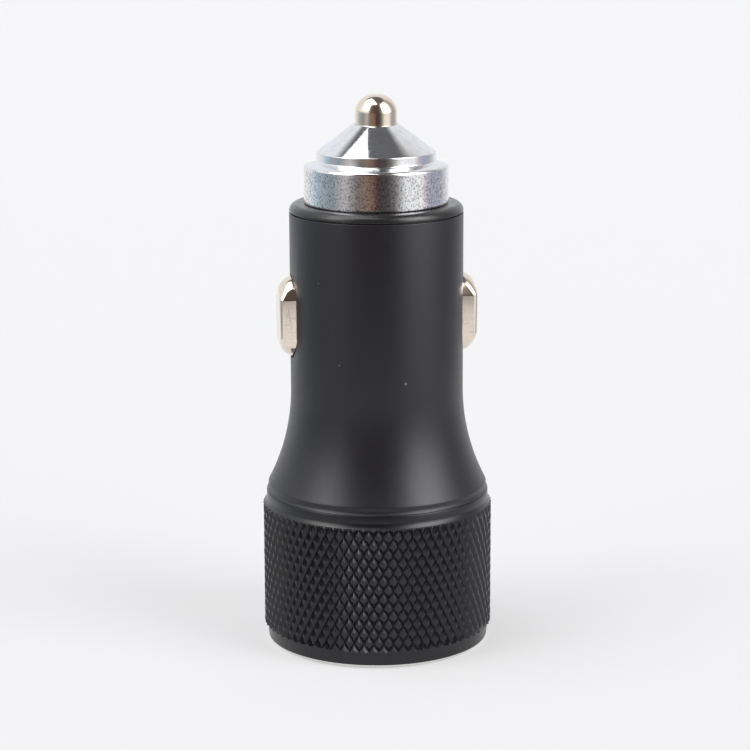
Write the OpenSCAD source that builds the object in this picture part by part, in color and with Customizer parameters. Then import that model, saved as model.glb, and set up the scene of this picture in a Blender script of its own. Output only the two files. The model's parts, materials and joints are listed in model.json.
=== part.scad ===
// Car USB charger plug, millimetres.
// The axis is Z. The USB face looks down and its rim is at z = 0, and the centre pin points up.
// The two sprung side contacts lie on the X axis.

/* [Barrel] */
// Outside diameter of the barrel
barrel_d = 20.7; // [20:0.1:21.5]
// Thickness of the barrel's wall
barrel_wall = 1.15; // [0.9:0.05:1.3]
// Height of the barrel from the grip ring to the collar
barrel_h = 33.8; // [33:0.1:38]
// Height over which the barrel flares out above the grip ring
flare_h = 12.5; // [9:0.1:14]
// How far the flare's lip lies inside the knurl's points
lip_inset = 0.425; // [0.3:0.005:0.6]
// Rounding of the flare's lip
lip_round = 1.6; // [0.5:0.1:2.5]
// Length of the spigot that the grip ring is pressed on
spigot_l = 10.7; // [8:0.1:12]
// Thickness of the spigot's wall
spigot_wall = 1.1; // [0.8:0.05:1.3]

/* [Grip ring] */
// Height of the grip ring
grip_h = 18.7; // [18:0.1:21]
// Thickness of the ring from its bore to the knurl's points
grip_wall = 1.225; // [1.1:0.005:1.8]
// Depth of the knurl
knurl_depth = 0.37; // [0.25:0.01:0.4]
// Diamonds around the knurl
knurl_count = 72; // [48:2:90]
// Diamonds up the knurl
knurl_rows = 7; // [4:1:8]
// Height of the smooth tapered band above the knurl
band_h = 1.5; // [0.8:0.1:3]
// Height of the smooth band below the knurl
foot_h = 2.1; // [1.2:0.1:3]
// Bright chamfer on the bottom edge
foot_chamfer = 0.45; // [0.2:0.05:0.6]
// Thickness of the lip that holds the face plate
plate_lip_t = 0.6; // [0.5:0.05:0.9]
// Width of the lip that holds the face plate
plate_lip_w = 0.8; // [0.5:0.05:1.1]

/* [Collar] */
// Height of the insulating collar's flange
collar_h = 1.1; // [0.8:0.1:3]
// Rounding of the flange's upper edge
collar_round = 0.9; // [0.3:0.05:1.1]
// Depth of the skirt inside the barrel
skirt_l = 4; // [3.4:0.1:5]
// Diameter of the neck inside the nose cap
neck_d = 12.3; // [9:0.1:13]
// Height of the neck inside the nose cap
neck_l = 4.3; // [2:0.1:4.3]

/* [Nose cap] */
// Diameter of the nose cap's ring
cap_d = 17.2; // [16.6:0.05:18]
// Height of the ring up to its ledge
cap_h = 4.6; // [4.4:0.1:6]
// Rounding of the ring's upper edge
cap_round = 0.35; // [0.1:0.05:0.6]
// Rise of the ledge from the ring to the step
ledge_rise = 0.4; // [0:0.05:0.6]
// Diameter of the step below the cone
step_d = 14.25; // [13.8:0.1:15]
// Height of the step
step_h = 1.1; // [0.8:0.05:2]
// Height of the cone
cone_h = 3.2; // [2.6:0.05:4.5]
// Width of the flat rim at the top of the cone
cone_rim = 0.25; // [0.15:0.05:0.8]

/* [Centre pin] */
// Diameter of the centre pin
pin_d = 5; // [4:0.1:5.4]
// Length of the pin that stands out of the cone
pin_out = 3.5; // [3:0.05:5]
// How far the pin can be pushed in
pin_travel = 2.8; // [1.5:0.1:3]
// Radius of the pin's rounded tip
pin_round = 2.2; // [1:0.1:2.4]
// Height of the cone's bore that guides the pin
pin_guide = 1.3; // [1:0.1:1.6]
// Diameter of the flange that keeps the pin in
pin_flange_d = 6.5; // [6.2:0.05:6.7]
// Thickness of that flange
pin_flange_t = 0.8; // [0.5:0.1:1.5]
// Diameter of the tail that centres the spring
pin_tail_d = 2.8; // [1.5:0.1:3]
// Length of the tail
pin_tail_l = 2.4; // [1:0.1:4]

/* [Pin spring] */
// Outside diameter of the spring
spring_d = 5; // [4.6:0.1:5.8]
// Diameter of the spring's wire
wire_d = 0.5; // [0.3:0.05:0.6]
// Turns of the spring
spring_turns = 7; // [4:1:8]
// Diameter of the chamber that holds the spring and the pin's flange
chamber_d = 6.9; // [6.8:0.05:7.2]
// Thickness of the terminal's disc under the spring
terminal_t = 0.5; // [0.3:0.1:1]
// Diameter of the terminal's stem
stem_d = 2.1; // [1.2:0.1:3]

/* [Side contacts] */
// Depth of the pads' centre below the collar
pad_drop = 12.35; // [11.5:0.05:14.8]
// Length of a pad
pad_l = 9.7; // [7:0.1:10.4]
// Width of a pad
pad_w = 5.3; // [4:0.1:5.4]
// How far a pad stands out of the barrel at rest
pad_out = 1.58; // [0.8:0.02:1.8]
// Rounding of a pad's edges
pad_round = 1.9; // [0.6:0.05:2]
// Thickness of the contacts' metal
strip_t = 0.35; // [0.2:0.05:0.5]
// Width of the leaf inside the barrel
strip_w = 6.2; // [6:0.1:6.4]
// Gap between a leaf's top end and the carrier's top wall
leaf_gap = 0.2; // [0.1:0.05:1.5]
// Radius of the curl that the leaf turns on
curl_r = 0.6; // [0.4:0.05:0.7]
// Height of the curl above the grip ring
curl_rise = 4.6; // [4:0.1:5.4]
// Swing of a contact from rest to pushed in, in degrees
contact_swing = 5.8; // [4:0.1:6.2]

/* [USB ports] */
// Width of a port's shell
port_w = 13.1; // [12.6:0.1:13.4]
// Thickness of a port's shell across its narrow side
port_t = 5.7; // [5.3:0.05:5.9]
// Length of a port's shell
port_l = 12.1; // [11:0.1:12.4]
// Distance between the two ports' centres
port_pitch = 9.2; // [8.6:0.1:9.6]
// Room between the ports' corners and the spigot's wall
port_room = 1.58; // [1.2:0.01:2]
// Thickness of the shells' sheet
port_sheet = 0.3; // [0.2:0.05:0.4]
// Gap between a tongue's edge and the side of its shell
tongue_side_gap = 0.7; // [0.5:0.05:1]
// Thickness of a tongue
tongue_t = 1.84; // [1.4:0.02:2]
// Gap between a tongue and the near wall of its shell
tongue_gap = 0.72; // [0.5:0.02:0.9]
// Depth of a tongue's tip inside the shell
tongue_inset = 0.9; // [0.5:0.1:2]
// Height of the moulded block that closes a port
tongue_base_h = 2.9; // [2:0.1:4]
// Thickness of the face plate
plate_t = 1.8; // [1.3:0.1:2.2]
// Depth of the face plate below the rim
plate_recess = 0.3; // [0.1:0.05:0.4]
// Diameter of the indicator's light pipe
lens_d = 1.8; // [1:0.1:2.2]

/* [Boards] */
// Thickness of both circuit boards
board_t = 1.2; // [0.8:0.1:1.6]
// Depth of the main board's foot in the carrier's wall
board_seat = 0.45; // [0.2:0.05:0.6]
// Room left between the main board and a contact that is pushed in
swing_room = 0.4; // [0.2:0.05:0.8]
// Thickness of the carrier's wall
carrier_wall = 1; // [0.8:0.05:1.1]
// Thickness of the carrier's top wall
carrier_top_t = 1.2; // [0.8:0.1:1.6]
// Room between the input capacitor and the carrier
input_cap_room = 1.23; // [0.9:0.01:2.5]
// Gap between the inductor and the input capacitor's leads
input_cap_gap = 3.25; // [0.5:0.05:6]
// Room between the output capacitor and the carrier
output_cap_room = 2.53; // [1.3:0.01:3.5]
// Gap between the controller chip and the output capacitor's leads
output_cap_gap = 0.6; // [0.3:0.1:3]
// Room between the inductor's sides and the carrier's rails
coil_side_room = 0.7; // [0.5:0.05:1.6]
// Room between the inductor's top and the carrier
coil_top_room = 3.23; // [2.8:0.01:4.5]
// Width of the controller chip
chip_w = 3.9; // [3:0.1:5]
// Length of the controller chip
chip_l = 4.9; // [4:0.1:6]
// Thickness of the controller chip
chip_t = 1.4; // [1:0.1:2]
// Width of the rectifier diode
diode_w = 4.2; // [3:0.1:5]
// Length of the rectifier diode
diode_l = 2.6; // [2:0.1:3.4]
// Thickness of the rectifier diode
diode_t = 2; // [1:0.1:2.4]
// Width of the input fuse
fuse_w = 3.2; // [2:0.1:4.5]
// Length of the input fuse
fuse_l = 1.6; // [1:0.1:2.5]
// Thickness of the input fuse
fuse_t = 0.8; // [0.5:0.1:1.2]

/* [Hidden] */
$fn = 96;

// Clearances between pieces
slip = 0.05;
running = 0.05;
seat_gap = 0.02;
slot_gap = 0.25;
window_gap = 0.3;
edge_break = 0.15;
// How far a cut runs past the face it opens
past = 1;

// Heights up the stack, from the rim at z = 0 to the pin's tip
z_seam = grip_h;
z_collar = z_seam + barrel_h;
z_cap = z_collar + collar_h;
z_step = z_cap + cap_h + ledge_rise;
z_cone = z_step + step_h;
z_cone_top = z_cone + cone_h;
z_tip = z_cone_top + pin_out;

// Barrel
barrel_r = barrel_d / 2;
bore_r = barrel_r - barrel_wall;
// The spigot and the grip ring are built outwards from the two ports and the barrel's bore
port_y = port_pitch / 2;
port_corner_r = norm([port_w / 2, port_y + port_t / 2]);
shoulder_w = 0.8;
cavity_r = max(port_corner_r + port_room, bore_r + 2 * shoulder_w);
spigot_r = cavity_r + spigot_wall;
grip_bore_r = spigot_r + slip;
knurl_r = grip_bore_r + grip_wall;
lip_r = knurl_r - lip_inset;
z_spigot = z_seam - spigot_l;
lip_edge = 0.3;
// The flare is a hollow arc that runs into the lip's round
flare_drop = flare_h - lip_edge;
flare_reach = lip_r - barrel_r - lip_round;
flare_r = (flare_drop ^ 2 + flare_reach ^ 2 - lip_round ^ 2) / (2 * (lip_r - barrel_r));
flare_turn = asin(flare_drop / (flare_r + lip_round));

// Grip ring
valley_r = knurl_r - knurl_depth;
core_r = valley_r - 0.15;
foot_r = valley_r - 0.02;
band_r = knurl_r + 0.05;
z_band = z_seam - band_h;
plate_lip_r = grip_bore_r - plate_lip_w;

// Face plate, ports and boards
z_plate = plate_recess;
z_plate_back = z_plate + plate_t;
z_port = z_plate_back + seat_gap;
z_usb_board = z_port + port_l;
z_main_board = z_usb_board + board_t;
usb_board_r = cavity_r - 0.3;
z_shoulder = z_main_board + slip;
throat_l = 1.2;
bore_taper = 5.4;
throat_r = cavity_r - shoulder_w;
z_throat = z_shoulder + throat_l;
z_bore = z_seam + bore_taper;
port_in_w = port_w - 2 * port_sheet;
port_in_t = port_t - 2 * port_sheet;
tongue_w = port_in_w - 2 * tongue_side_gap;
pin_places = [-3.5, -1, 1, 3.5];
pin_w = 1;
pin_t = 0.3;
leg_w = 1.6;
led_t = 0.8;

// Collar, nose cap and pin
skirt_r = bore_r - slip;
z_skirt = z_collar - skirt_l;
collar_floor_t = 1.7;
z_floor = z_skirt + collar_floor_t;
neck_r = neck_d / 2;
z_neck = z_cap + neck_l;
chamber_r = chamber_d / 2;
cap_r = cap_d / 2;
step_r = step_d / 2;
pin_r = pin_d / 2;
pin_bore_r = pin_r + running;
cone_top_r = pin_bore_r + cone_rim;
z_guide = z_cone_top - pin_guide;
z_flange_top = z_guide - seat_gap;
z_flange = z_flange_top - pin_flange_t;
z_terminal = z_floor + terminal_t;
z_stop = z_flange - pin_tail_l - pin_travel - seat_gap;
terminal_r = chamber_r - slip;
stem_r = stem_d / 2;
stem_hole_r = stem_r + slip;

// Carrier and main board
carrier_r = bore_r - slip;
carrier_in_r = carrier_r - carrier_wall;
z_board_top = z_skirt - carrier_top_t;
board_half_t = board_t / 2;
board_foot_r = carrier_in_r + board_seat;
board_groove = board_foot_r + slip;

// Side contacts
z_pad = z_collar - pad_drop;
z_curl = z_seam + curl_rise;
strip_l = z_board_top - leaf_gap - z_curl;
strip_half_w = strip_w / 2;
// The leaf's edges bear on the bore
strip_x = sqrt(bore_r ^ 2 - strip_half_w ^ 2) - 0.1;
curl_x = strip_x - curl_r;
cradle_r = curl_r + running;
cradle_half_h = cradle_r + 0.5;
pad_x = barrel_r + pad_out;
pocket_half_w = strip_half_w + window_gap;
// The leaf's inner face at its top end when it is pushed in, and the board that stays clear of it
leaf_in_x = curl_x + (strip_x - strip_t - curl_x) * cos(contact_swing) - strip_l * sin(contact_swing);
board_half_w = leaf_in_x - swing_room;
rail_t = 0.8;

// What stands on the main board, in order from its foot to its top
part_depth = carrier_in_r - board_half_t - seat_gap;
lead_r = 0.25;
lead_drop = 1;
part_gap = 1.05;
input_cap_d = part_depth - input_cap_room;
output_cap_d = part_depth - output_cap_room;
coil_d = 2 * (board_half_w - rail_t - coil_side_room);
coil_h = part_depth - coil_top_room;
coil_hub_r = coil_d / 5;
coil_flange_t = 0.9;
coil_low = -0.3;
z_coil = z_curl + coil_low + coil_d / 2;
z_input_cap = z_coil + coil_d / 2 + input_cap_gap + lead_r + lead_drop;
z_input_cap_top = z_board_top - 1.5;
z_diode = z_curl + 0.1 + diode_l / 2;
z_chip = z_diode + (diode_l + chip_l) / 2 + part_gap;
z_output_cap = z_chip + chip_l / 2 + output_cap_gap + lead_r + lead_drop;
z_fuse = z_board_top - 3;
z_output_cap_top = z_fuse - 1.5;

// Pins that join the two boards, on the main board's front face
link_pin = 0.6;
link_tail = 0.5;
link_rise = 2.6;
link_places = [-3.81, -1.27, 1.27, 3.81];
link_y = -board_half_t - link_pin / 2 - seat_gap;

// Points on an arc about centre, from angle a0 to a1
function arc(centre, r, a0, a1, steps) = [
    for (i = [0:steps])
        let (a = a0 + (a1 - a0) * i / steps)
        centre + r * [cos(a), sin(a)]
];

// A solid turned about Z from a profile of [radius, height] points
module turned(profile) {
    rotate_extrude() polygon(profile);
}

// A rectangle with round corners, centred
module soft_rectangle(w, h, r) {
    polygon([
        for (corner = [[1, 1, 0], [-1, 1, 90], [-1, -1, 180], [1, -1, 270]])
            each arc([corner[0] * (w / 2 - r), corner[1] * (h / 2 - r)], r, corner[2], corner[2] + 90, 4)
    ]);
}

// A slot with round ends, long along Y
module slot_outline(w, l) {
    square([w, l - w], center = true);
    for (end = [-1, 1])
        translate([0, end * (l - w) / 2]) circle(d = w);
}

// A pad with round ends, long along Y, from half of its section
module pill(section, straight) {
    mirrored = [for (i = [len(section) - 1:-1:0]) [-section[i][0], section[i][1]]];
    for (end = [0, 180])
        rotate(end) translate([0, straight / 2, 0]) rotate_extrude(angle = 180) polygon(section);
    rotate([90, 0, 0]) linear_extrude(straight, center = true) polygon(concat(section, mirrored));
}

// Turns X, Y and Z into Y, Z and X, so that a shape made flat faces outwards
module facing_out() {
    rotate([90, 0, 90]) children();
}

// Barrel: one turned aluminium piece with its flare, lip, spigot and two slots
module barrel() {
    flare_centre = [barrel_r + flare_r, z_seam + flare_h];
    lip_centre = [lip_r - lip_round, z_seam + lip_edge];
    color([0.1, 0.1, 0.11]) difference() {
        turned(concat(
            [[bore_r, z_collar], [barrel_r - edge_break, z_collar], [barrel_r, z_collar - edge_break]],
            arc(flare_centre, flare_r, 180, 180 + flare_turn, 20),
            arc(lip_centre, lip_round, flare_turn, 0, 6),
            [[lip_r, z_seam], [spigot_r, z_seam], [spigot_r, z_spigot], [cavity_r, z_spigot]],
            [[cavity_r, z_shoulder], [throat_r, z_shoulder], [throat_r, z_throat], [bore_r, z_bore]]
        ));
        for (side = [0, 180])
            rotate(side) translate([bore_r - past, 0, z_pad]) facing_out()
                linear_extrude(barrel_wall + 2 * past)
                    slot_outline(pad_w + 2 * slot_gap, pad_l + 2 * slot_gap);
    }
}

// Knurl: rings of points that step between peak and valley, so that each peak is a pyramid
// and the valleys join into crossed straight grooves
module knurl_sleeve(z_low, z_high, r_in, buried) {
    n = 2 * knurl_count;
    rings = 2 * knurl_rows;
    pitch = (z_high - z_low) / rings;
    function at(r, i, z) = [r * cos(360 * i / n), r * sin(360 * i / n), z];
    function is_peak(i, k) = (i + k) % 2 == 0;
    function height(k) = k > rings ? z_high + buried : z_low + k * pitch;
    function outer(i, k) = at(is_peak(i, min(k, rings)) ? knurl_r : valley_r, i, height(k));
    function index(i, k) = k * n + i % n;
    outside = [for (k = [0:rings + 1]) for (i = [0:n - 1]) outer(i, k)];
    inside = [for (z = [z_low, z_high + buried]) for (i = [0:n - 1]) at(r_in, i, z)];
    skin = [
        for (k = [0:rings]) for (i = [0:n - 1])
            let (a = index(i, k), b = index(i + 1, k), c = index(i + 1, k + 1), d = index(i, k + 1))
            each is_peak(i, k) ? [[a, d, b], [b, d, c]] : [[a, c, b], [a, d, c]]
    ];
    walls = [
        for (i = [0:n - 1])
            let (low = rings + 2, high = rings + 3, top = rings + 1)
            each [
                [index(i, 0), index(i + 1, 0), index(i + 1, low), index(i, low)],
                [index(i, top), index(i, high), index(i + 1, high), index(i + 1, top)],
                [index(i, low), index(i + 1, low), index(i + 1, high), index(i, high)]
            ]
    ];
    polyhedron(points = concat(outside, inside), faces = concat(skin, walls));
}

// Grip ring: the knurled sleeve on the barrel's spigot, with a tapered band above and a foot below
module grip_ring() {
    buried = 0.1;
    color([0.07, 0.07, 0.08]) {
        turned([
            [grip_bore_r, z_seam], [lip_r, z_seam], [band_r, z_band], [core_r, z_band],
            [core_r, foot_h + buried], [foot_r, foot_h + buried], [foot_r, foot_chamfer],
            [foot_r - foot_chamfer, 0], [plate_lip_r, 0], [plate_lip_r, plate_lip_t],
            [grip_bore_r, plate_lip_t]
        ]);
        knurl_sleeve(foot_h, z_band, core_r - 0.2, buried);
    }
}

// Insulating collar: flange between barrel and nose cap, skirt below and threaded neck above
module insulator_collar() {
    color([0.13, 0.13, 0.13]) turned(concat(
        [[stem_hole_r, z_skirt], [skirt_r - edge_break, z_skirt], [skirt_r, z_skirt + edge_break]],
        [[skirt_r, z_collar], [barrel_r - edge_break, z_collar], [barrel_r, z_collar + edge_break]],
        arc([barrel_r - collar_round, z_cap - collar_round], collar_round, 0, 90, 8),
        [[neck_r, z_cap], [neck_r, z_neck - edge_break], [neck_r - edge_break, z_neck]],
        [[chamber_r, z_neck], [chamber_r, z_floor], [stem_hole_r, z_floor]]
    ));
}

// Nose cap: ring, ledge, step and cone, bored for the pin and screwed on the collar's neck
module nose_cap() {
    inner_r = neck_r + slip;
    corner = [cap_r - cap_round, z_cap + cap_h - cap_round];
    foot_fillet = 0.2;
    color([0.78, 0.79, 0.81]) turned(concat(
        [[inner_r, z_cap], [cap_r - edge_break, z_cap], [cap_r, z_cap + edge_break]],
        arc(corner, cap_round, 0, 75, 5),
        arc([step_r + foot_fillet, z_step + foot_fillet], foot_fillet, 270, 180, 4),
        [[step_r, z_cone - 0.08], [step_r - 0.08, z_cone], [cone_top_r, z_cone_top]],
        [[pin_bore_r, z_cone_top], [pin_bore_r, z_guide], [chamber_r, z_guide]],
        [[chamber_r, z_neck + seat_gap], [inner_r, z_neck + seat_gap]]
    ));
}

// Centre pin: rounded tip, guided shank, flange that keeps it in and tail inside the spring
module centre_pin() {
    color([0.8, 0.76, 0.7]) turned(concat(
        [[0, z_flange - pin_tail_l], [pin_tail_d / 2, z_flange - pin_tail_l]],
        [[pin_tail_d / 2, z_flange], [pin_flange_d / 2, z_flange]],
        [[pin_flange_d / 2, z_flange_top], [pin_r, z_flange_top]],
        arc([pin_r - pin_round, z_tip - pin_round], pin_round, 0, 90, 12),
        [[0, z_tip]]
    ));
}

// Pin spring: a wire swept up a helix whose first and last turns lie close, for flat ends
module pin_spring() {
    wire_r = wire_d / 2;
    coil_r = spring_d / 2 - wire_r;
    sides = 8;
    steps = 20;
    z_low = z_terminal + wire_r + seat_gap;
    z_high = z_flange - wire_r - seat_gap;
    close_pitch = 1.2 * wire_d;
    open_pitch = (z_high - z_low - 2 * close_pitch) / (spring_turns - 2);
    function rise(t) =
        t < 1 ? t * close_pitch
        : t < spring_turns - 1 ? close_pitch + (t - 1) * open_pitch
        : z_high - z_low - (spring_turns - t) * close_pitch;
    rings = spring_turns * steps;
    points = [
        for (k = [0:rings]) for (j = [0:sides - 1])
            let (turn = 360 * k / steps, a = 360 * j / sides, r = coil_r + wire_r * cos(a))
            [r * cos(turn), r * sin(turn), z_low + rise(k / steps) + wire_r * sin(a)]
    ];
    skin = [
        for (k = [0:rings - 1]) for (j = [0:sides - 1])
            let (a = k * sides + j, b = k * sides + (j + 1) % sides)
            each [[a, b, b + sides], [a, b + sides, a + sides]]
    ];
    start = [for (j = [sides - 1:-1:0]) j];
    end = [for (j = [0:sides - 1]) rings * sides + j];
    color([0.7, 0.7, 0.72]) polyhedron(points = points, faces = concat(skin, [start, end]));
}

// Spring terminal: disc under the spring, a post that stops the pin, and a stem down to the board
module spring_terminal() {
    color([0.78, 0.6, 0.3]) turned([
        [0, z_board_top], [stem_r, z_board_top], [stem_r, z_floor],
        [terminal_r, z_floor], [terminal_r, z_terminal],
        [pin_tail_d / 2, z_terminal], [pin_tail_d / 2, z_stop], [0, z_stop]
    ]);
}

// Side contact: a leaf that turns on its curl, with a hollow pressed pad through the slot
module side_contact() {
    half_w = pad_w / 2;
    z_low = strip_x - strip_t;
    thin_round = max(pad_round - strip_t, 0.1);
    outside = concat(
        [[0, z_low], [half_w, z_low]],
        arc([half_w - pad_round, pad_x - pad_round], pad_round, 0, 90, 10),
        [[0, pad_x]]
    );
    hollow = concat(
        [[0, z_low - past], [half_w - strip_t, z_low - past]],
        arc([half_w - strip_t - thin_round, pad_x - strip_t - thin_round], thin_round, 0, 90, 10),
        [[0, pad_x - strip_t]]
    );
    color([0.8, 0.76, 0.7]) difference() {
        union() {
            translate([z_low, -strip_half_w, z_curl]) cube([strip_t, strip_w, strip_l]);
            translate([curl_x, 0, z_curl]) rotate([90, 0, 0])
                cylinder(r = curl_r, h = strip_w, center = true);
            translate([0, 0, z_pad]) facing_out() pill(outside, pad_l - pad_w);
        }
        translate([0, 0, z_pad]) facing_out() pill(hollow, pad_l - pad_w);
    }
}

module side_contact_left() {
    rotate(180) side_contact();
}

module side_contact_right() {
    side_contact();
}

// Face plate: the moulded disc that shows the two ports, with a skirt up to the spigot
module face_plate() {
    flange_r = grip_bore_r - slip;
    z_lip = plate_lip_t + seat_gap;
    window_w = port_in_w + 0.1;
    window_t = port_in_t + 0.1;
    bevel = 0.35;
    color([0.08, 0.08, 0.09]) difference() {
        turned([
            [0, z_plate], [plate_lip_r - slip, z_plate], [plate_lip_r - slip, z_lip], [flange_r, z_lip],
            [flange_r, z_spigot - seat_gap], [flange_r - spigot_wall, z_spigot - seat_gap],
            [flange_r - spigot_wall, z_plate_back], [0, z_plate_back]
        ]);
        for (side = [-1, 1]) translate([0, side * port_y, z_plate]) {
            translate([0, 0, -past]) linear_extrude(plate_t + 2 * past)
                soft_rectangle(window_w, window_t, 0.5);
            translate([0, 0, -past]) linear_extrude(past + bevel)
                soft_rectangle(window_w + 2 * bevel, window_t + 2 * bevel, 0.7);
        }
        translate([0, 0, z_plate - past]) cylinder(d = lens_d + 2 * slip, h = plate_t + 2 * past);
    }
}

// Indicator lens: a clear light pipe between the ports, from the face to the lamp
module indicator_lens() {
    z_end = z_usb_board - led_t - seat_gap;
    color([0.85, 0.9, 0.95]) translate([0, 0, z_plate]) cylinder(d = lens_d, h = z_end - z_plate);
}

// Indicator lamp on the underside of the USB board
module indicator_led() {
    color([0.95, 0.93, 0.8]) translate([-0.8, -0.4, z_usb_board - led_t]) cube([1.6, 0.8, led_t]);
}

// USB shell: a folded sheet box, open below, with four spring fingers and two legs
module usb_shell(side) {
    finger_w = 2.2;
    finger_l = 4.4;
    finger_bend = 3;
    finger_z = z_port + 2.4;
    finger_x = 3.2;
    wall_y = port_t / 2;
    color([0.75, 0.76, 0.77]) translate([0, side * port_y, 0]) {
        difference() {
            translate([0, 0, z_port]) linear_extrude(port_l) difference() {
                soft_rectangle(port_w, port_t, 0.6);
                soft_rectangle(port_in_w, port_in_t, 0.35);
            }
            for (x = [-finger_x, finger_x])
                translate([x - finger_w / 2 - 0.3, -port_t, finger_z])
                    cube([finger_w + 0.6, 2 * port_t, finger_l + 0.3]);
        }
        for (x = [-finger_x, finger_x]) for (wall = [-1, 1])
            translate([x - finger_w / 2, wall * (wall_y - port_sheet / 2), finger_z + finger_l + 0.3])
                rotate([180 - wall * finger_bend, 0, 0]) translate([0, -port_sheet / 2, -0.1])
                    cube([finger_w, port_sheet, finger_l]);
        for (wall = [-1, 1])
            translate([wall * (port_w - port_sheet) / 2, 0, z_main_board - (board_t + past) / 2])
                cube([port_sheet, leg_w, board_t + past], center = true);
    }
}

// USB tongue: the moulded block that closes the port, and the plate that carries the contacts
module usb_tongue(side) {
    y_near = port_in_t / 2 - tongue_gap;
    z_base = z_usb_board - tongue_base_h;
    z_tongue_tip = z_port + tongue_inset;
    color([0.1, 0.1, 0.1]) translate([0, side * port_y, 0]) difference() {
        union() {
            translate([0, 0, z_base]) linear_extrude(tongue_base_h)
                soft_rectangle(port_in_w - 2 * seat_gap, port_in_t - 2 * seat_gap, 0.35);
            translate([-tongue_w / 2, side > 0 ? y_near - tongue_t : -y_near, z_tongue_tip])
                cube([tongue_w, tongue_t, z_base - z_tongue_tip + 0.5]);
        }
        contact_strips(side, seat_gap, past);
    }
}

// Four contact strips, in the port's own place; grow widens them and extra lengthens them
module contact_strips(side, grow, extra) {
    proud = 0.06;
    y_face = port_in_t / 2 - tongue_gap - tongue_t;
    z_low = z_port + tongue_inset + 0.7;
    z_high = z_main_board;
    for (x = pin_places)
        translate([x - pin_w / 2 - grow, side > 0 ? y_face - proud - grow : -y_face + proud - pin_t - grow, z_low - grow])
            cube([pin_w + 2 * grow, pin_t + 2 * grow, z_high - z_low + 2 * grow + extra]);
}

module usb_contacts(side) {
    color([0.83, 0.68, 0.35]) translate([0, side * port_y, 0]) contact_strips(side, 0, 0);
}

module usb_shell_front() {
    usb_shell(-1);
}

module usb_shell_back() {
    usb_shell(1);
}

module usb_tongue_front() {
    usb_tongue(-1);
}

module usb_tongue_back() {
    usb_tongue(1);
}

module usb_contacts_front() {
    usb_contacts(-1);
}

module usb_contacts_back() {
    usb_contacts(1);
}

// Link pins; grow widens them for the holes they pass through
module link_pins(grow, below, above) {
    for (x = link_places)
        translate([x, link_y, z_usb_board - below])
            linear_extrude(board_t + below + above) square(link_pin + 2 * grow, center = true);
}

module board_link_pins() {
    color([0.8, 0.66, 0.36]) link_pins(0, link_tail, link_rise);
}

// USB board: a round board above the ports, with holes for their legs and strips
module usb_board() {
    leg_hole = [port_sheet + 2 * slip, leg_w + 2 * slip, board_t + 2 * past];
    color([0.1, 0.35, 0.2]) difference() {
        translate([0, 0, z_usb_board]) cylinder(r = usb_board_r, h = board_t);
        for (side = [-1, 1]) translate([0, side * port_y, 0]) {
            contact_strips(side, slip, past);
            for (wall = [-1, 1])
                translate([wall * (port_w - port_sheet) / 2, 0, z_usb_board + board_t / 2])
                    cube(leg_hole, center = true);
        }
        link_pins(slip, past, past);
    }
}

// Main board: wide at its foot, narrow between the contacts, with a plated notch for each curl
module main_board() {
    z_ear = z_curl + cradle_half_h;
    foot = board_foot_r;
    color([0.1, 0.35, 0.2]) difference() {
        translate([0, board_half_t, 0]) rotate([90, 0, 0]) linear_extrude(board_t) difference() {
            polygon([
                [foot, z_main_board], [foot, z_curl - cradle_half_h], [curl_x, z_curl - cradle_half_h],
                [curl_x, z_ear], [board_half_w, z_ear], [board_half_w, z_board_top],
                [-board_half_w, z_board_top], [-board_half_w, z_ear], [-curl_x, z_ear],
                [-curl_x, z_curl - cradle_half_h], [-foot, z_curl - cradle_half_h], [-foot, z_main_board]
            ]);
            for (side = [-1, 1]) translate([side * curl_x, z_curl]) circle(r = cradle_r);
        }
    }
}

// Carrier half: half a tube round the board, with a window, a cradle and a rail for each contact
module carrier(side) {
    z_low = z_main_board + seat_gap;
    cradle_in = board_half_w + 0.2;
    rail_x = board_half_w - rail_t;
    z_rail = z_curl + cradle_half_h + 2;
    board_gap = board_half_t + seat_gap;
    color([0.16, 0.16, 0.17]) difference() {
        intersection() {
            union() {
                difference() {
                    translate([0, 0, z_low]) cylinder(r = carrier_r, h = z_skirt - z_low);
                    translate([0, 0, z_low - past]) cylinder(r = carrier_in_r, h = z_board_top - z_low + past);
                    translate([0, 0, z_low]) cylinder(r = stem_hole_r, h = z_skirt);
                    for (wall = [-1, 1]) {
                        translate([wall * carrier_r, 0, (z_curl + z_board_top) / 2])
                            cube([2 * (carrier_r - board_half_w), 2 * pocket_half_w, z_board_top - z_curl], center = true);
                    }
                }
                for (wall = [-1, 1]) {
                    translate([wall * (cradle_in + curl_x) / 2, 0, z_curl])
                        cube([curl_x - cradle_in, 2 * pocket_half_w + 1, 2 * cradle_half_h], center = true);
                    intersection() {
                        translate([wall * (rail_x + rail_t / 2), 0, (z_rail + z_board_top) / 2])
                            cube([rail_t, 2 * carrier_r, z_board_top - z_rail + 0.2], center = true);
                        translate([0, 0, z_low]) cylinder(r = carrier_r - carrier_wall / 2, h = z_skirt - z_low);
                    }
                }
            }
            translate([-carrier_r, side > 0 ? 0 : -carrier_r, z_low]) cube([2 * carrier_r, carrier_r, z_skirt - z_low]);
        }
        translate([-board_groove, -board_gap, z_low - past])
            cube([2 * board_groove, 2 * board_gap, z_board_top + past - z_low]);
        for (wall = [-1, 1])
            translate([wall * curl_x, 0, z_curl]) rotate([90, 0, 0])
                cylinder(r = cradle_r, h = 2 * pocket_half_w, center = true);
    }
}

module carrier_front() {
    carrier(-1);
}

module carrier_back() {
    carrier(1);
}

// Inductor: a ferrite drum on the front of the main board, and the copper wound on its hub
module on_front(z) {
    translate([0, -board_half_t - seat_gap, z]) rotate([90, 0, 0]) children();
}

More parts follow.
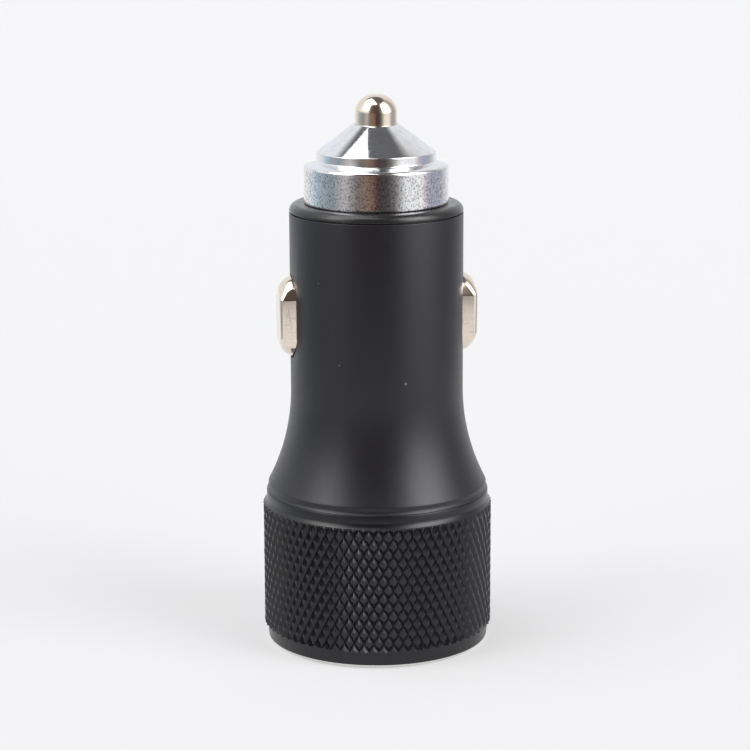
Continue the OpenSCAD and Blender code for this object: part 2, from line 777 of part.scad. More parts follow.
module inductor_core() {
    color([0.22, 0.22, 0.23]) on_front(z_coil) turned([
        [0, 0], [coil_d / 2, 0], [coil_d / 2, coil_flange_t], [coil_hub_r, coil_flange_t],
        [coil_hub_r, coil_h - coil_flange_t], [coil_d / 2, coil_h - coil_flange_t],
        [coil_d / 2, coil_h], [0, coil_h]
    ]);
}

module inductor_winding() {
    low = coil_flange_t + seat_gap;
    high = coil_h - coil_flange_t - seat_gap;
    outer_r = coil_d / 2 - 0.4;
    color([0.72, 0.42, 0.22]) on_front(z_coil) turned([
        [coil_hub_r + seat_gap, low], [outer_r, low], [outer_r, high], [coil_hub_r + seat_gap, high]
    ]);
}

// Electrolytic capacitor lying along the main board, with a rolled groove and two bent leads
module capacitor(d, l) {
    r = d / 2;
    lead_x = 1.2;
    groove = 0.25;
    // Kept inside the can, so that the leads join it
    root = 0.3;
    turned([
        [0, 0], [r - 0.2, 0], [r, 0.2], [r, 1], [r - groove, 1.2], [r - groove, 1.6], [r, 1.8],
        [r, l - 0.3], [r - 0.3, l], [0, l]
    ]);
    for (x = [-lead_x, lead_x]) {
        translate([x, 0, -lead_drop]) cylinder(r = lead_r, h = lead_drop + root);
        translate([x, 0, -lead_drop]) sphere(r = lead_r);
        translate([x, 0, -lead_drop]) rotate([-90, 0, 0]) cylinder(r = lead_r, h = r);
    }
}

module input_capacitor() {
    color([0.16, 0.18, 0.3])
        translate([0, -board_half_t - seat_gap - input_cap_d / 2, z_input_cap])
            capacitor(input_cap_d, z_input_cap_top - z_input_cap);
}

module output_capacitor() {
    color([0.16, 0.18, 0.3])
        translate([0, board_half_t + seat_gap + output_cap_d / 2, z_output_cap])
            rotate(180) capacitor(output_cap_d, z_output_cap_top - z_output_cap);
}

// A flat chip on the back of the main board, with leads along its two long sides
module chip(z, w, l, t, leads) {
    lead_w = 0.4;
    lead_t = 0.2;
    lead_out = 0.9;
    lead_pitch = 1.27;
    translate([0, board_half_t + seat_gap, z]) {
        translate([-w / 2, 0.1, -l / 2]) cube([w, t, l]);
        for (side = [-1, 1]) for (i = [0:leads - 1])
            translate([side * (w + lead_out) / 2, lead_t / 2, (i - (leads - 1) / 2) * lead_pitch])
                cube([lead_out + 0.4, lead_t, lead_w], center = true);
    }
}

module controller_chip() {
    color([0.12, 0.12, 0.13]) chip(z_chip, chip_w, chip_l, chip_t, 4);
}

module rectifier_diode() {
    color([0.14, 0.14, 0.15]) chip(z_diode, diode_w, diode_l, diode_t, 1);
}

module input_fuse() {
    color([0.85, 0.85, 0.8])
        translate([-fuse_w / 2, board_half_t + seat_gap, z_fuse]) cube([fuse_w, fuse_t, fuse_l]);
}

barrel();
grip_ring();
insulator_collar();
nose_cap();
centre_pin();
pin_spring();
spring_terminal();
side_contact_left();
side_contact_right();
face_plate();
indicator_lens();
indicator_led();
usb_shell_front();
usb_shell_back();
usb_tongue_front();
usb_tongue_back();
usb_contacts_front();
usb_contacts_back();
usb_board();
main_board();
board_link_pins();
carrier_front();
carrier_back();
inductor_core();
inductor_winding();
input_capacitor();
output_capacitor();
controller_chip();
rectifier_diode();
input_fuse();
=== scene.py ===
"""Car USB charger plug: the visible pieces and the finish of every piece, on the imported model's frame.

The shapes are made in millimetres, with the plug's axis on Z, and are scaled to metres at the end.
"""
import json
import math
import random

import bmesh
import bpy
from bpy.props import FloatProperty, FloatVectorProperty, IntProperty, PointerProperty
from mathutils import Matrix, Vector


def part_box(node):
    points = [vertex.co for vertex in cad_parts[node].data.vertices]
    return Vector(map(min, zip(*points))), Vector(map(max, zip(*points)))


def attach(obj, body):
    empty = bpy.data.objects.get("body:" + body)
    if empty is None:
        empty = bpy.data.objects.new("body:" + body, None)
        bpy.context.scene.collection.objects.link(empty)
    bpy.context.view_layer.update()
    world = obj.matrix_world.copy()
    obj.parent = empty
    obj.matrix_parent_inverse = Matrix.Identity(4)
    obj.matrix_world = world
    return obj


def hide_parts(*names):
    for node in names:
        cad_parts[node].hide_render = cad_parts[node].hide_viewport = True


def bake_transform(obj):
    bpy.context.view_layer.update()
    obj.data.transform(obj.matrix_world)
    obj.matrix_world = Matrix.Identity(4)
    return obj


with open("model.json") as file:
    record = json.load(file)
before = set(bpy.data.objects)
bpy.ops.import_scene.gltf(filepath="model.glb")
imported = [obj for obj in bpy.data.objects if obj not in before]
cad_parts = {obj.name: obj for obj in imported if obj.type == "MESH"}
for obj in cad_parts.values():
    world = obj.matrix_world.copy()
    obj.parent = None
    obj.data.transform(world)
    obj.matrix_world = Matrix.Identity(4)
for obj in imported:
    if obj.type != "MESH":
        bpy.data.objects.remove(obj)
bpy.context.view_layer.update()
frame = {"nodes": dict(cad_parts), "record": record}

bl_info = {
    "name": "Car charger plug",
    "version": (1, 0, 0),
    "blender": (4, 5, 0),
    "location": "View3D > Sidebar > Charger Plug",
    "description": "Builds the visible pieces of a car USB charger plug over its packed solids",
    "category": "Mesh",
}

MM = 0.001
AXIS = (0, 0, 1)
HERE = (0, 0, 0)
# Steps around a turned skin, and over one of its small roundings
TURN_STEPS = 192
ROUND_STEPS = 4
# Edges that turn by more than this stay sharp: in general, on the knurl, and on the nose and the pin
SHARP = math.radians(32)
SHARP_KNURL = math.radians(40)
SHARP_NOSE = math.radians(50)
# Points closer than this are merged, in millimetres; lengths below TINY count as none
MERGE = 1e-4
TINY = 1e-6
SPRING_TURNS = 7
KNURL_SEED = 7
# Shares of the way along a curved run
RUN_SHARES = (0.0, 0.2, 0.4, 0.6, 0.8, 1.0)
# The ring's rounding at the seam: how far in from its wall, and how far below the seam
SEAM_ROUND = ((0.0, 0.1), (0.02, 0.04), (0.05, 0.01), (0.1, 0.0))


def top_of(node):
    """Height of a CAD node's highest point, in metres."""
    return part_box(node)[1].z


def length(name, description, default):
    """A size that the sidebar shows in the scene's units."""
    return FloatProperty(name=name, description=description, default=default, unit="LENGTH",
                         subtype="DISTANCE", min=0, precision=5)


def angle(name, description, degrees):
    """An angle, written in degrees."""
    return FloatProperty(name=name, description=description, default=math.radians(degrees), subtype="ANGLE")


def strength(name, description, default):
    """How strongly something shines."""
    return FloatProperty(name=name, description=description, default=default, min=0)


def tint(name, description, default):
    """A colour that the sidebar shows as a swatch."""
    return FloatVectorProperty(name=name, description=description, default=default,
                               subtype="COLOR", size=3, min=0, max=1)


# Sizes and colours


class PlugBarrelSizes(bpy.types.PropertyGroup):
    """Sizes of the turned barrel and of the collar on top of it."""

    radius: length("Radius", "Outside radius of the barrel", 0.01035)
    bore: length("Bore", "Radius of the barrel's bore", 0.0092)
    lip_radius: length("Lip radius", "Radius of the flare's lip at its foot", 0.01338)
    lip_round: length("Lip round", "Rounding of the flare's lip", 0.0004)
    lip_wall: length("Lip wall", "Height of the lip below its round", 0.00085)
    rim_flare: length("Rim flare", "How far the rim at the lip's foot turns out", 0.0002)
    flare_height: length("Flare height", "Height over which the barrel flares out", 0.0125)
    slot_width: length("Slot width", "Width of the slots for the side contacts", 0.0058)
    slot_height: length("Slot height", "Height of the slots for the side contacts", 0.0102)
    slot_centre: length("Slot centre", "Height of the slots' centre", 0.04015)
    collar_round: length("Collar round", "Rounding of the collar's upper edge", 0.0009)


class PlugGripSizes(bpy.types.PropertyGroup):
    """Sizes of the knurled grip ring."""

    diamonds: IntProperty(name="Diamonds", description="Diamonds around the knurl", default=72, min=12)
    rows: IntProperty(name="Rows", description="Diamonds up the knurl", default=7, min=2)
    peak: length("Peak radius", "Radius over the diamonds' flat tops", 0.01384)
    valley: length("Valley radius", "Radius at the bottom of the grooves", 0.013515)
    flank: length("Flank width", "Width of the sloped side of a groove", 0.00035)
    low: length("Knurl foot", "Height where the knurl starts", 0.0021)
    high: length("Knurl top", "Height where the knurl ends", 0.0172)
    band: length("Band radius", "Radius of the smooth band just above the knurl", 0.01386)
    waist: length("Waist radius", "Radius of the smooth band under the seam", 0.0134)
    band_foot: length("Band foot", "Height at which the band runs out into the knurl", 0.01695)
    band_flare: length("Band flare", "Height over which the band runs out", 0.00085)
    foot: length("Foot radius", "Radius of the smooth band below the knurl", 0.01337)
    chamfer: length("Chamfer", "Bright chamfer on the bottom edge", 0.00045)
    bore: length("Bore", "Radius of the ring's bore", 0.01265)


class PlugNoseSizes(bpy.types.PropertyGroup):
    """Sizes of the plated nose cap and the sprung centre pin."""

    ring_radius: length("Ring radius", "Radius of the nose cap's ring", 0.0086)
    ring_height: length("Ring height", "Height of the ring up to its ledge", 0.0046)
    ledge_rise: length("Ledge rise", "Rise of the ledge from the ring to the step", 0.0004)
    step_radius: length("Step radius", "Radius of the step under the cone", 0.007125)
    step_height: length("Step height", "Height of the step", 0.0011)
    rim_radius: length("Rim radius", "Radius of the flat rim on top of the cone", 0.0028)
    pin_radius: length("Pin radius", "Radius of the centre pin", 0.0025)
    pin_round: length("Pin round", "Rounding of the pin's tip", 0.0022)
    wire: length("Spring wire", "Diameter of the spring's wire", 0.0005)


class PlugContactSizes(bpy.types.PropertyGroup):
    """Sizes of the two sprung side contacts."""

    leaf_x: length("Leaf place", "Distance of the leaf's outer face from the axis", 0.008562)
    leaf_width: length("Leaf width", "Width of the leaf inside the barrel", 0.0062)
    curl: length("Curl radius", "Radius of the curl that the leaf turns on", 0.0006)
    sheet: length("Sheet", "Thickness of the contacts' metal", 0.00035)
    pad_width: length("Pad width", "Width of a pad", 0.0053)
    pad_length: length("Pad length", "Length of a pad", 0.0097)
    pad_out: length("Pad reach", "Distance of the pads' outer face from the axis", 0.01187)
    side_round: length("Side round", "Rounding along the pads' long edges", 0.00024)
    end_round: length("End round", "Rounding over the pads' ends", 0.0019)


class PlugFinishes(bpy.types.PropertyGroup):
    """Colours of the plug's finishes."""

    anodised: tint("Anodised black", "Colour of the anodised barrel", (0.0058, 0.0057, 0.0088))
    knurl: tint("Grip black", "Colour of the anodised grip ring", (0.0042, 0.0042, 0.0068))
    bare_edge: tint("Cut edge", "Colour of the bare metal on the chamfer", (0.80, 0.78, 0.76))
    plastic: tint("Black plastic", "Colour of the collar and the face plate", (0.014, 0.014, 0.0145))
    chrome: tint("Chrome", "Colour of the nose cap's plating", (0.82, 0.83, 0.85))
    nickel: tint("Nickel", "Colour of the contacts' plating", (0.82, 0.73, 0.62))
    steel: tint("Steel", "Colour of the USB shells", (0.70, 0.70, 0.71))
    gold: tint("Gold", "Colour of the contact strips", (0.85, 0.62, 0.28))
    solder_mask: tint("Solder mask", "Colour of the circuit boards", (0.012, 0.12, 0.05))
    copper: tint("Copper", "Colour of the winding", (0.62, 0.25, 0.11))


class PlugStage(bpy.types.PropertyGroup):
    """Place of the camera and level of the studio."""

    distance: length("Distance", "Distance of the camera from the plug's axis", 0.2944)
    height: length("Height", "Height of the camera", 0.09932)
    turn: angle("Turn", "Angle of the camera to the left of the front", 8)
    pitch: angle("Pitch", "Downward angle of the camera", 12.774)
    yaw: angle("Yaw", "Small turn that sets the plug beside the centre", 0.043)
    roll: angle("Roll", "Small lean of the camera", -0.2)
    lens: FloatProperty(name="Lens", description="Focal length in millimetres", default=120.37, min=10)
    floor: tint("Floor", "Colour of the floor", (0.28, 0.283, 0.289))
    sheet: length("Sheet", "Reach of the paper sheet to the front as metal sees it", 0.224)
    sheet_side: length("Sheet side", "Reach of the paper sheet to the sides as metal sees it", 0.157)
    backdrop: tint("Backdrop", "Colour behind the floor's edge", (0.93, 0.935, 0.945))
    floor_glow: strength("Floor glow", "Lift of the floor as the camera, metal and glass see it", 0.493)
    surround: strength("Surround", "Strength of the room around the plug", 1.0)
    left_box: strength("Left box", "Extra strength of the left soft box", 3.6)
    right_box: strength("Right box", "Extra strength of the right soft box", 4.6)
    panel: strength("Panel", "Extra strength of the soft panel overhead on the left", 2.2)
    key: strength("Key", "Strength of the soft key lamp", 0.12)


def sizes(group):
    """The named sizes of a property group, in millimetres."""
    return {name: getattr(group, name) / MM for name in group.__annotations__
            if isinstance(getattr(group, name), float)}


# Shapes


def arc(centre, radius, start, end, steps=8):
    """Points on an arc in the profile's plane; the angles are in degrees."""
    turns = [math.radians(start + (end - start) * i / steps) for i in range(steps + 1)]
    return [(centre[0] + radius * math.cos(a), centre[1] + radius * math.sin(a)) for a in turns]


def quarter(steps):
    """The angles of a quarter turn, in radians."""
    return [math.radians(90 * i / steps) for i in range(steps + 1)]


def turned(profile, closed=True, steps=TURN_STEPS):
    """A skin turned about Z from points of (radius, height) or (radius, height, rounding)."""
    bm = bmesh.new()
    verts = [bm.verts.new((p[0], 0, p[1])) for p in profile]
    for a, b in zip(verts, verts[1:] + verts[:1] if closed else verts[1:]):
        bm.edges.new((a, b))
    rounded = {}
    for vert, point in zip(verts, profile):
        if len(point) > 2:
            rounded.setdefault(point[2], []).append(vert)
    for rounding, corners in rounded.items():
        bmesh.ops.bevel(bm, geom=corners, offset=rounding, offset_type="OFFSET", segments=ROUND_STEPS,
                        profile=0.5, affect="VERTICES", material=-1)
    bmesh.ops.spin(bm, geom=bm.verts[:] + bm.edges[:], cent=HERE, axis=AXIS, dvec=HERE,
                   angle=math.tau, steps=steps, use_merge=True)
    bmesh.ops.remove_doubles(bm, verts=bm.verts, dist=MERGE)
    bmesh.ops.recalc_face_normals(bm, faces=bm.faces)
    return bm


def slot_place(vert, straight):
    """How a point on a slot outline faces: its own place, and the direction away from the midline."""
    middle = max(-straight, min(straight, vert.co.z))
    outward = Vector((vert.co.y, vert.co.z - middle)).normalized()
    return Vector((vert.co.y, vert.co.z)), outward


def slot_tube(half_width, straight, levels, place, steps=96):
    """A tube of rings on a slot outline in the YZ plane, one ring a level.

    The function place(level, point, outward) says where each point of a ring goes.
    """
    bm = bmesh.new()
    flat = Matrix.Rotation(math.pi / 2, 4, "Y") @ Matrix.Rotation(math.pi / steps, 4, "Z")
    bmesh.ops.create_circle(bm, cap_ends=False, radius=half_width, segments=steps, matrix=flat)
    for vert in bm.verts:
        vert.co.z += math.copysign(straight, vert.co.z)
    outline = {}
    bmesh.ops.spin(bm, geom=bm.verts[:] + bm.edges[:], cent=HERE, axis=(1, 0, 0), dvec=(1, 0, 0),
                   angle=0, steps=levels - 1, use_merge=False)
    for vert in bm.verts:
        outline[vert] = (round(vert.co.x), *slot_place(vert, straight))
    for vert, (level, point, outward) in outline.items():
        vert.co = place(level, point, outward)
    return bm, {vert: level for vert, (level, _, _) in outline.items()}


def ring_at(levels, level):
    """Edges of one ring of a slot tube."""
    ring = {vert for vert, k in levels.items() if k == level}
    return list({edge for vert in ring for edge in vert.link_edges if edge.other_vert(vert) in ring})


def in_scene(name, bm, *materials):
    """Puts a skin into the scene as an object, and frees the skin."""
    mesh = bpy.data.meshes.new(name)
    bm.to_mesh(mesh)
    bm.free()
    for material in materials:
        mesh.materials.append(material)
    obj = bpy.data.objects.new(name, mesh)
    bpy.context.scene.collection.objects.link(obj)
    return obj


def boundary_at(bm, height, near=1e-3):
    """Open edges of a skin that lie level at a height."""
    return [edge for edge in bm.edges
            if edge.is_boundary and all(abs(vert.co.z - height) < near for vert in edge.verts)]


def drawn_out(bm, edges):
    """Extrudes edges and gives the new points, still in their old places, and the edges between them."""
    made = bmesh.ops.extrude_edge_only(bm, edges=edges)["geom"]
    moved = [item for item in made if isinstance(item, bmesh.types.BMVert)]
    ends = set(moved)
    return moved, [item for item in made if isinstance(item, bmesh.types.BMEdge) and set(item.verts) <= ends]


def cut_with(bm, cutters):
    """Cuts closed skins out of a closed skin and gives back the result."""
    body = in_scene("blank", bm)
    tools = [in_scene("slot_cutter", cutter) for cutter in cutters]
    for tool in tools:
        cut = body.modifiers.new("slot", "BOOLEAN")
        cut.operation = "DIFFERENCE"
        cut.solver = "EXACT"
        cut.object = tool
    result = bmesh.new()
    shaped = body.evaluated_get(bpy.context.evaluated_depsgraph_get())
    result.from_mesh(shaped.to_mesh())
    shaped.to_mesh_clear()
    for obj in [body, *tools]:
        mesh = obj.data
        bpy.data.objects.remove(obj)
        bpy.data.meshes.remove(mesh)
    return result


def shade(bm, sharp=SHARP):
    """Smooth shading, broken at edges that turn by more than the sharp angle."""
    for face in bm.faces:
        face.smooth = True
    for edge in bm.edges:
        edge.smooth = len(edge.link_faces) == 2 and edge.calc_face_angle(0) < sharp


def wound(radius, wire, z_low, z_high, turns, steps=48, sides=16):
    """A wire wound into a compression spring whose first and last turns lie close."""
    bm = bmesh.new()
    upright = Matrix.Translation((radius, 0, z_low)) @ Matrix.Rotation(math.pi / 2, 4, "X")
    bmesh.ops.create_circle(bm, cap_ends=False, radius=wire / 2, segments=sides, matrix=upright)
    close = 1.2 * wire
    loose = (z_high - z_low - 2 * close) / (turns - 2)
    section = bm.verts[:] + bm.edges[:]
    for count, pitch in ((1, close), (turns - 2, loose), (1, close)):
        section = bmesh.ops.spin(bm, geom=section, cent=HERE, axis=AXIS, dvec=(0, 0, pitch / steps),
                                 angle=math.tau * count, steps=steps * count)["geom_last"]
    bmesh.ops.holes_fill(bm, edges=[e for e in bm.edges if e.is_boundary], sides=0)
    bmesh.ops.recalc_face_normals(bm, faces=bm.faces)
    return bm


def stand_for(name, bm, nodes, body, slot, *more_slots, sharp=SHARP):
    """Puts a skin made in millimetres into the frame in place of CAD nodes; it has one material slot or more.

    A body of None leaves it on no body.
    """
    shade(bm, sharp)
    bmesh.ops.scale(bm, vec=(MM, MM, MM), verts=bm.verts)
    obj = in_scene(name, bm, *(coating(each) for each in (slot, *more_slots)))
    if body:
        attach(obj, body)
    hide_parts(*nodes)
    return obj


def level_normals(obj):
    """Keeps flat faces flat beside their rounded edges."""
    even = obj.modifiers.new("level_normals", "WEIGHTED_NORMAL")
    even.keep_sharp = True
    even.weight = 50


def softened(name, node, slot, width):
    """A merged copy of a CAD node with its sharp edges slightly rounded; the width is in millimetres."""
    bm = bmesh.new()
    bm.from_mesh(frame["nodes"][node].data)
    bmesh.ops.scale(bm, vec=(1 / MM,) * 3, verts=bm.verts)
    bmesh.ops.remove_doubles(bm, verts=bm.verts, dist=MERGE)
    bmesh.ops.dissolve_limit(bm, angle_limit=math.radians(0.5), use_dissolve_boundaries=False,
                             verts=bm.verts, edges=bm.edges, delimit={"NORMAL"})
    bmesh.ops.recalc_face_normals(bm, faces=bm.faces)
    obj = stand_for(name, bm, [node], "root", slot)
    edges = obj.modifiers.new("rounded_edges", "BEVEL")
    edges.width = width * MM
    edges.segments = 2
    edges.limit_method = "ANGLE"
    edges.angle_limit = math.radians(40)
    level_normals(obj)


# Finishes


def add(tree, kind, inputs=None, **settings):
    """Adds a shader node with its settings; an input is a value, or the socket that feeds it."""
    node = tree.nodes.new("ShaderNode" + kind)
    for name, value in settings.items():
        setattr(node, name, value)
    for name, value in (inputs or {}).items():
        if isinstance(value, bpy.types.NodeSocket):
            tree.links.new(value, node.inputs[name])
        else:
            node.inputs[name].default_value = value
    return node


def effect(name, outputs, **inputs):
    """An empty shader group that takes a place and some inputs, and puts out values.

    An input is given by its default, and None makes it a vector. Words in its name are joined by _ here.
    """
    tree = bpy.data.node_groups.new(name, "ShaderNodeTree")
    for socket, default in {"Place": None, **inputs}.items():
        kind = "NodeSocketVector" if default is None else "NodeSocketFloat"
        made = tree.interface.new_socket(name=socket.replace("_", " "), in_out="INPUT", socket_type=kind)
        if default is not None:
            made.default_value = default
    for socket in outputs:
        tree.interface.new_socket(name=socket, in_out="OUTPUT", socket_type="NodeSocketFloat")
    return tree, tree.nodes.new("NodeGroupInput").outputs, tree.nodes.new("NodeGroupOutput").inputs


def maths(tree, operation, a, b=0.0, c=0.0):
    """One Math node; gives its result."""
    return add(tree, "Math", {0: a, 1: b, 2: c}, operation=operation).outputs[0]


def times(tree, a, b):
    """The product of two values, or of a value and a mask."""
    return maths(tree, "MULTIPLY", a, b)


def split_up(tree, vector):
    """The three parts of a vector."""
    return add(tree, "SeparateXYZ", {0: vector}).outputs


def radius_of(tree, place):
    """Distance from the plug's axis."""
    x, y, _ = split_up(tree, place)
    flat = add(tree, "CombineXYZ", {0: x, 1: y}).outputs[0]
    return add(tree, "VectorMath", {0: flat}, operation="LENGTH").outputs["Value"]


def remap(tree, value, low, high, to_low=0.0, to_high=1.0):
    """A value moved from one range to another, clamped."""
    return add(tree, "MapRange", {"Value": value, "From Min": low, "From Max": high,
                                  "To Min": to_low, "To Max": to_high}).outputs[0]


def noise(tree, place, scale, detail=2.0, roughness=0.5):
    """Plain noise over the piece."""
    return add(tree, "TexNoise", {"Vector": place, "Scale": scale, "Detail": detail,
                                  "Roughness": roughness}).outputs["Fac"]


def blend_colour(tree, mask, low, high):
    """A colour that goes from low to high with a mask."""
    node = add(tree, "Mix", {"Factor": mask}, data_type="RGBA")
    for socket, value in ((node.inputs[6], low), (node.inputs[7], high)):
        if isinstance(value, bpy.types.NodeSocket):
            tree.links.new(value, socket)
        else:
            socket.default_value = (*value, 1)
    return node.outputs[2]


def shade_of(colour, *factors):
    """A colour made paler or darker by one factor, or by one for each channel."""
    return [channel * factor for channel, factor in zip(colour, factors * 3)]


def turning_marks():
    """Fine rings that a lathe tool leaves, as a height: they follow the radius and the height only."""
    tree, given, out = effect("turning_marks", ["Height"], Lines=9000.0, Break_up=0.3)
    x, y, z = split_up(tree, given["Place"])
    # A ring runs around the axis, so the turn counts for very little of the place
    along = times(tree, maths(tree, "ARCTAN2", y, x), 0.0006)
    rings = add(tree, "CombineXYZ", {0: radius_of(tree, given["Place"]), 1: along, 2: z}).outputs[0]
    fine = noise(tree, rings, given["Lines"], roughness=0.6)
    blotch = noise(tree, given["Place"], 900.0, 3.0)
    tree.links.new(maths(tree, "ADD", fine, times(tree, blotch, given["Break up"])), out["Height"])
    return tree


def dust_specks():
    """Sparse pale specks of dust, as a mask."""
    tree, given, out = effect("dust_specks", ["Mask"], Cells=700.0, Share=0.04, Size=0.12)
    cells = add(tree, "TexVoronoi", {"Vector": given["Place"], "Scale": given["Cells"]})
    chance = add(tree, "SeparateColor", {0: cells.outputs["Color"]}).outputs[0]
    chosen = maths(tree, "LESS_THAN", chance, given["Share"])
    near = maths(tree, "LESS_THAN", cells.outputs["Distance"], given["Size"])
    tree.links.new(times(tree, chosen, near), out["Mask"])
    return tree


def pitted_plate():
    """Orange peel and small pits of cheap plating, as a height, and a mask that is low in the pits."""
    tree, given, out = effect("pitted_plate", ["Height", "Mask"], Grain=3200.0, Pits=0.5)
    peel = noise(tree, given["Place"], given["Grain"], 3.0, 0.65)
    cells = add(tree, "TexVoronoi", {"Vector": given["Place"], "Scale": given["Grain"]}, feature="SMOOTH_F1")
    rise = remap(tree, cells.outputs["Distance"], 0.0, 0.45)
    tree.links.new(maths(tree, "ADD", peel, times(tree, rise, given["Pits"])), out["Height"])
    tree.links.new(rise, out["Mask"])
    return tree


def fine_scuffs():
    """Thin broken scratches along one direction, as a mask."""
    tree, given, out = effect("fine_scuffs", ["Mask"], Stretch=None, Amount=0.62)
    drawn = add(tree, "VectorMath", {0: given["Place"], 1: given["Stretch"]}, operation="MULTIPLY").outputs[0]
    tree.links.new(remap(tree, noise(tree, drawn, 1.0, 4.0, 0.7), given["Amount"], 0.78), out["Mask"])
    return tree


def moulded_grain():
    """Fine even grain of a spark-eroded mould, as a height."""
    tree, given, out = effect("moulded_grain", ["Height"], Scale=6000.0)
    tree.links.new(noise(tree, given["Place"], given["Scale"], 4.0), out["Height"])
    return tree


EFFECTS = {}


def effect_node(tree, make, place, **values):
    """Places a shared effect, made at its first use; words in a socket's name are joined by _ here."""
    if make not in EFFECTS:
        EFFECTS[make] = make()
    node = tree.nodes.new("ShaderNodeGroup")
    node.node_tree = EFFECTS[make]
    tree.links.new(place, node.inputs["Place"])
    for key, value in values.items():
        node.inputs[key.replace("_", " ")].default_value = value
    return node.outputs


def show(tree, shader):
    """Makes a shader the surface of its material."""
    output = next(node for node in tree.nodes if node.type == "OUTPUT_MATERIAL")
    tree.links.new(shader.outputs[0], output.inputs["Surface"])


def finish(name, colour, roughness, metallic=0.0, **sockets):
    """A new material: gives it, its node tree, its shader and the place on the piece."""
    made = bpy.data.materials.new(name)
    made.use_nodes = True
    tree = made.node_tree
    tree.nodes.clear()
    shader = add(tree, "BsdfPrincipled")
    add(tree, "OutputMaterial")
    show(tree, shader)
    shader.inputs["Base Color"].default_value = (*colour, 1)
    shader.inputs["Roughness"].default_value = roughness
    shader.inputs["Metallic"].default_value = metallic
    for socket, value in sockets.items():
        shader.inputs[socket.replace("_", " ")].default_value = value
    place = add(tree, "TexCoord").outputs["Object"]
    return made, tree, shader, place


def coat(tree, shader, colour=None, roughness=None):
    """Feeds a colour and a roughness to the shader, those that are given."""
    for socket, value in (("Base Color", colour), ("Roughness", roughness)):
        if value is not None:
            tree.links.new(value, shader.inputs[socket])


def bump(tree, shader, height, amount, distance):
    """Feeds a height to the shader's normal; the distance is in millimetres."""
    node = add(tree, "Bump", {"Height": height, "Strength": amount, "Distance": distance * MM})
    tree.links.new(node.outputs[0], shader.inputs["Normal"])


def anodised_barrel_finish(colours):
    """Satin black anodised aluminium with turning marks and a little dust."""
    made, tree, shader, place = finish("anodised_barrel", colours.anodised, 0.36)
    marks = effect_node(tree, turning_marks, place, Lines=7000.0, Break_up=0.5)["Height"]
    dust = effect_node(tree, dust_specks, place, Cells=520.0, Share=0.05, Size=0.1)["Mask"]
    cloud = noise(tree, place, 260.0, 3.0)
    tone = blend_colour(tree, cloud, colours.anodised, shade_of(colours.anodised, 1.35))
    coat(tree, shader, blend_colour(tree, dust, tone, (0.16, 0.16, 0.17)),
         remap(tree, marks, 0.4, 1.0, 0.33, 0.41))
    bump(tree, shader, marks, 0.16, 0.02)
    return made


def anodised_grip_finish(colours):
    """Black anodised knurl, paler at random on the worn tops, with painted shade darkening the grooves."""
    made, tree, shader, place = finish("anodised_grip", colours.knurl, 0.37)
    grooves, tops = 0.01352, 0.01386
    # Painted shade: by radius, the colour darkens to 0.7 of the grip's black at the groove bottoms; the paler
    # tops follow random wear.
    depth = remap(tree, radius_of(tree, place), grooves, tops)
    wear_and_groove_shade = times(tree, depth, noise(tree, place, 420.0, 3.0))
    tone = blend_colour(tree, wear_and_groove_shade, shade_of(colours.knurl, 0.7), shade_of(colours.knurl, 1.7))
    dust = effect_node(tree, dust_specks, place, Cells=420.0, Share=0.03, Size=0.1)["Mask"]
    grain = effect_node(tree, moulded_grain, place, Scale=9000.0)["Height"]
    coat(tree, shader, blend_colour(tree, dust, tone, (0.2, 0.2, 0.2)),
         remap(tree, wear_and_groove_shade, 0.0, 0.7, 0.3, 0.24))
    bump(tree, shader, grain, 0.18, 0.012)
    return made


def cut_edge_finish(colours):
    """Bare aluminium where the chamfer was cut through the anodising."""
    made, tree, shader, place = finish("cut_edge", colours.bare_edge, 0.2, 1.0)
    marks = effect_node(tree, turning_marks, place, Lines=12000.0, Break_up=0.2)["Height"]
    coat(tree, shader, roughness=remap(tree, marks, 0.3, 1.0, 0.16, 0.3))
    bump(tree, shader, marks, 0.2, 0.01)
    return made


def collar_finish(colours):
    """Black plastic with a soft gloss and a few small dents."""
    made, tree, shader, place = finish("collar_black", colours.plastic, 0.24)
    dents = add(tree, "TexVoronoi", {"Vector": place, "Scale": 420.0}).outputs["Distance"]
    waves = maths(tree, "ADD", remap(tree, dents, 0.0, 0.16), noise(tree, place, 1500.0, 3.0))
    dust = effect_node(tree, dust_specks, place, Cells=600.0, Share=0.04, Size=0.09)["Mask"]
    coat(tree, shader, blend_colour(tree, dust, colours.plastic, (0.2, 0.2, 0.2)),
         remap(tree, noise(tree, place, 700.0), 0.3, 0.7, 0.2, 0.3))
    bump(tree, shader, waves, 0.12, 0.03)
    return made


def chrome_finish(colours):
    """Bright plating: pitted on the ring, smoother on the step and the cone."""
    made, tree, shader, place = finish("nose_chrome", colours.chrome, 0.08, 1.0)
    z_top = top_of("nose_cap")
    on_ring = remap(tree, split_up(tree, place)[2], z_top - 5.2 * MM, z_top - 4.7 * MM, 1.0, 0.12)
    pits = effect_node(tree, pitted_plate, place, Grain=4200.0, Pits=0.4)
    marks = effect_node(tree, turning_marks, place, Lines=5000.0, Break_up=0.1)["Height"]
    height = maths(tree, "MULTIPLY_ADD", marks, 0.12, times(tree, pits["Height"], on_ring))
    stain = remap(tree, noise(tree, place, 900.0, 4.0), 0.45, 0.7)
    plate = blend_colour(tree, stain, colours.chrome, shade_of(colours.chrome, 0.9, 0.88, 0.86))
    freckles = times(tree, remap(tree, noise(tree, place, 4200.0, 3.0), 0.48, 0.66, 0.0, 0.8), on_ring)
    coat(tree, shader, blend_colour(tree, freckles, plate, (0.2, 0.2, 0.22)),
         remap(tree, pits["Mask"], 0.0, 1.0, 0.16, 0.07))
    bump(tree, shader, height, 0.4, 0.01)
    return made


